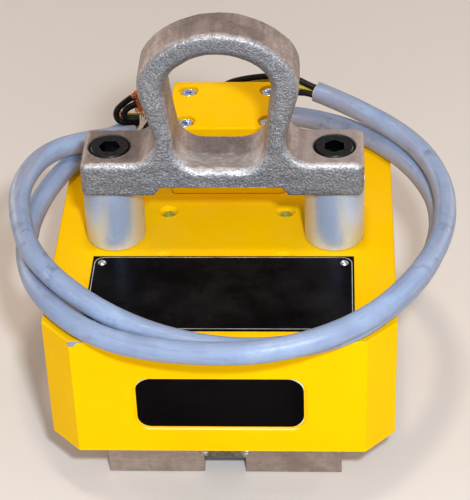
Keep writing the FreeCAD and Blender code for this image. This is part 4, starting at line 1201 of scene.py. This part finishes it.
HOLE_SPOTS = ((-0.0372, -0.0244), (0.0372, -0.0244), (-0.0372, 0.0244), (0.0372, 0.0244))
THREAD_ROOT = 0.00396
THREAD_CREST = 0.00338
THREAD_SECTION = (
    (THREAD_ROOT, 0.00058), (THREAD_CREST, 0.00008), (THREAD_CREST, -0.00008), (THREAD_ROOT, -0.00058),
)
THREAD_PITCH = 0.00125
THREAD_TOP = 0.1212
THREAD_TURNS = 9
THREAD_STEPS = 36


def hole_threads(shape):
    """A helical ridge on each hole's wall."""
    for x, y in HOLE_SPOTS:
        rows = []
        for step in range(THREAD_TURNS * THREAD_STEPS + 1):
            angle = math.tau * step / THREAD_STEPS
            level = THREAD_TOP - THREAD_PITCH * step / THREAD_STEPS
            rows.append([
                shape.verts.new((x + radius * math.cos(angle), y + radius * math.sin(angle), level + offset))
                for radius, offset in THREAD_SECTION])
        capped_run(shape, rows)


add_piece("hole_threads", mesh_from(hole_threads), "thread_steel")


# Weld beads where the spacers meet the shoes

SHOE_INNER = 0.013
SHOE_FRONT = 0.0837
WELD_LOW = 0.0135
WELD_HIGH = 0.0268
WELD_RIPPLES = 6
WELD_HALF = 0.0030
WELD_HEIGHT = 0.0013
WELD_SWELL = 0.0008
WELD_SPREAD = 0.0007
WELD_UNEVEN = 0.0003
WELD_END = 0.00005
WELD_SINK = 0.00005
WELD_END_HEIGHT = 0.00002
WELD_ROWS = 42
WELD_COLUMNS = 14


def weld_bead(shape, side_x, side_y):
    """A rippled half round bead that runs up beside a spacer and thins out at its ends."""
    rows = []
    for row in range(WELD_ROWS + 1):
        part = row / WELD_ROWS
        ripple = abs(math.sin(math.pi * WELD_RIPPLES * part + 0.7 * side_x))
        swell = math.sin(math.pi * part) ** 0.35 if 0 < part < 1 else 0.0
        half = WELD_HALF + WELD_SPREAD * ripple + WELD_UNEVEN * math.sin(5 * part + side_y)
        half = half * swell + WELD_END
        high = (WELD_HEIGHT + WELD_SWELL * ripple) * swell + WELD_END_HEIGHT
        corners = []
        for column in range(WELD_COLUMNS + 1):
            turn = math.pi * column / WELD_COLUMNS
            x = side_x * SHOE_INNER - half * math.cos(turn)
            y = side_y * (SHOE_FRONT + high * math.sin(turn) - WELD_SINK)
            corners.append(shape.verts.new((x, y, WELD_LOW + (WELD_HIGH - WELD_LOW) * part)))
        rows.append(corners)
    capped_run(shape, rows)


def weld_beads(shape):
    for side_x in (-1, 1):
        for side_y in (-1, 1):
            weld_bead(shape, side_x, side_y)


add_piece("weld_beads", mesh_from(weld_beads), "weld_steel")


# Thin sealing bead round the foot of the terminal box, painted over; its dark brown is painted shade for the
# shadow line at the box's foot

BOX_HALF = 0.0365
BOX_FRONT = 0.044
BOX_BACK = 0.0995
BOX_CORNER = 0.003
SEAL_SECTION = (
    (-0.0003, 0.00002), (0.00022, 0.00002), (0.0003, 0.00016), (0.0001, 0.0003), (-0.0003, 0.0003),
)
SEAL_CORNER_STEPS = 6


def foot_seal(shape):
    middle_y = (BOX_FRONT + BOX_BACK) / 2
    half_y = (BOX_BACK - BOX_FRONT) / 2
    loops = []
    for sign_x, sign_y, start in ((1, 1, 0.0), (-1, 1, 0.25), (-1, -1, 0.5), (1, -1, 0.75)):
        corner = Vector((sign_x * (BOX_HALF - BOX_CORNER), middle_y + sign_y * (half_y - BOX_CORNER), ROOF))
        for step in range(SEAL_CORNER_STEPS + 1):
            angle = math.tau * (start + 0.25 * step / SEAL_CORNER_STEPS)
            outward = Vector((math.cos(angle), math.sin(angle), 0))
            loops.append([shape.verts.new(corner + outward * (BOX_CORNER + out) + Vector((0, 0, up)))
                          for out, up in SEAL_SECTION])
    bridge(shape, loops + loops[:1])


add_piece("box_foot_seal", mesh_from(foot_seal), "painted_seal")


# Floor and light

FLOOR_HALF = 6.0
FLOOR_LEVEL = -0.0002
FLOOR_CORNERS = ((-1, -1), (1, -1), (1, 1), (-1, 1))
MIDDLE = (0.0, 0.0, 0.12)
WORLD_COLOUR = (1.0, 0.93, 0.88, 1.0)
WORLD_STRENGTH = 0.44

floor_mesh = bpy.data.meshes.new("floor")
floor_spots = [(x * FLOOR_HALF, y * FLOOR_HALF, FLOOR_LEVEL) for x, y in FLOOR_CORNERS]
floor_mesh.from_pydata(floor_spots, [], [(0, 1, 2, 3)])
floor_mesh.materials.append(FINISHES["pale_floor"])
floor = bpy.data.objects.new("floor", floor_mesh)
scene.collection.objects.link(floor)

world = bpy.data.worlds.new("studio")
scene.world = world
world.use_nodes = True
surroundings = world.node_tree.nodes["Background"].inputs
surroundings["Color"].default_value = WORLD_COLOUR
surroundings["Strength"].default_value = WORLD_STRENGTH


def soft_lamp(name, spot, aim, width, height, power, colour):
    lamp = bpy.data.lights.new(name, "AREA")
    lamp.shape = "RECTANGLE"
    lamp.size = width
    lamp.size_y = height
    lamp.energy = power
    lamp.color = colour
    holder = bpy.data.objects.new(name, lamp)
    scene.collection.objects.link(holder)
    holder.location = spot
    holder.rotation_euler = (Vector(aim) - Vector(spot)).to_track_quat("-Z", "Y").to_euler()


beside_camera = EYE + UP * 0.125 + RIGHT * 0.10
soft_lamp("overhead", (0.0, -0.22, 1.9), (0.0, 0.0, 0.1), 0.16, 0.16, 8.0, (1.0, 0.84, 0.70))
soft_lamp("front_lamp", beside_camera, MIDDLE, 0.08, 0.06, 12.5, (0.78, 0.89, 1.0))
for side in (-1, 1):
    soft_lamp("rear_fill", (side * 1.5, 1.3, 0.55), MIDDLE, 1.0, 0.8, 9.0, (1.0, 0.93, 0.86))
soft_lamp("window", (0.25, -1.9, 0.75), MIDDLE, 1.0, 0.7, 12.5, (0.66, 0.82, 1.0))
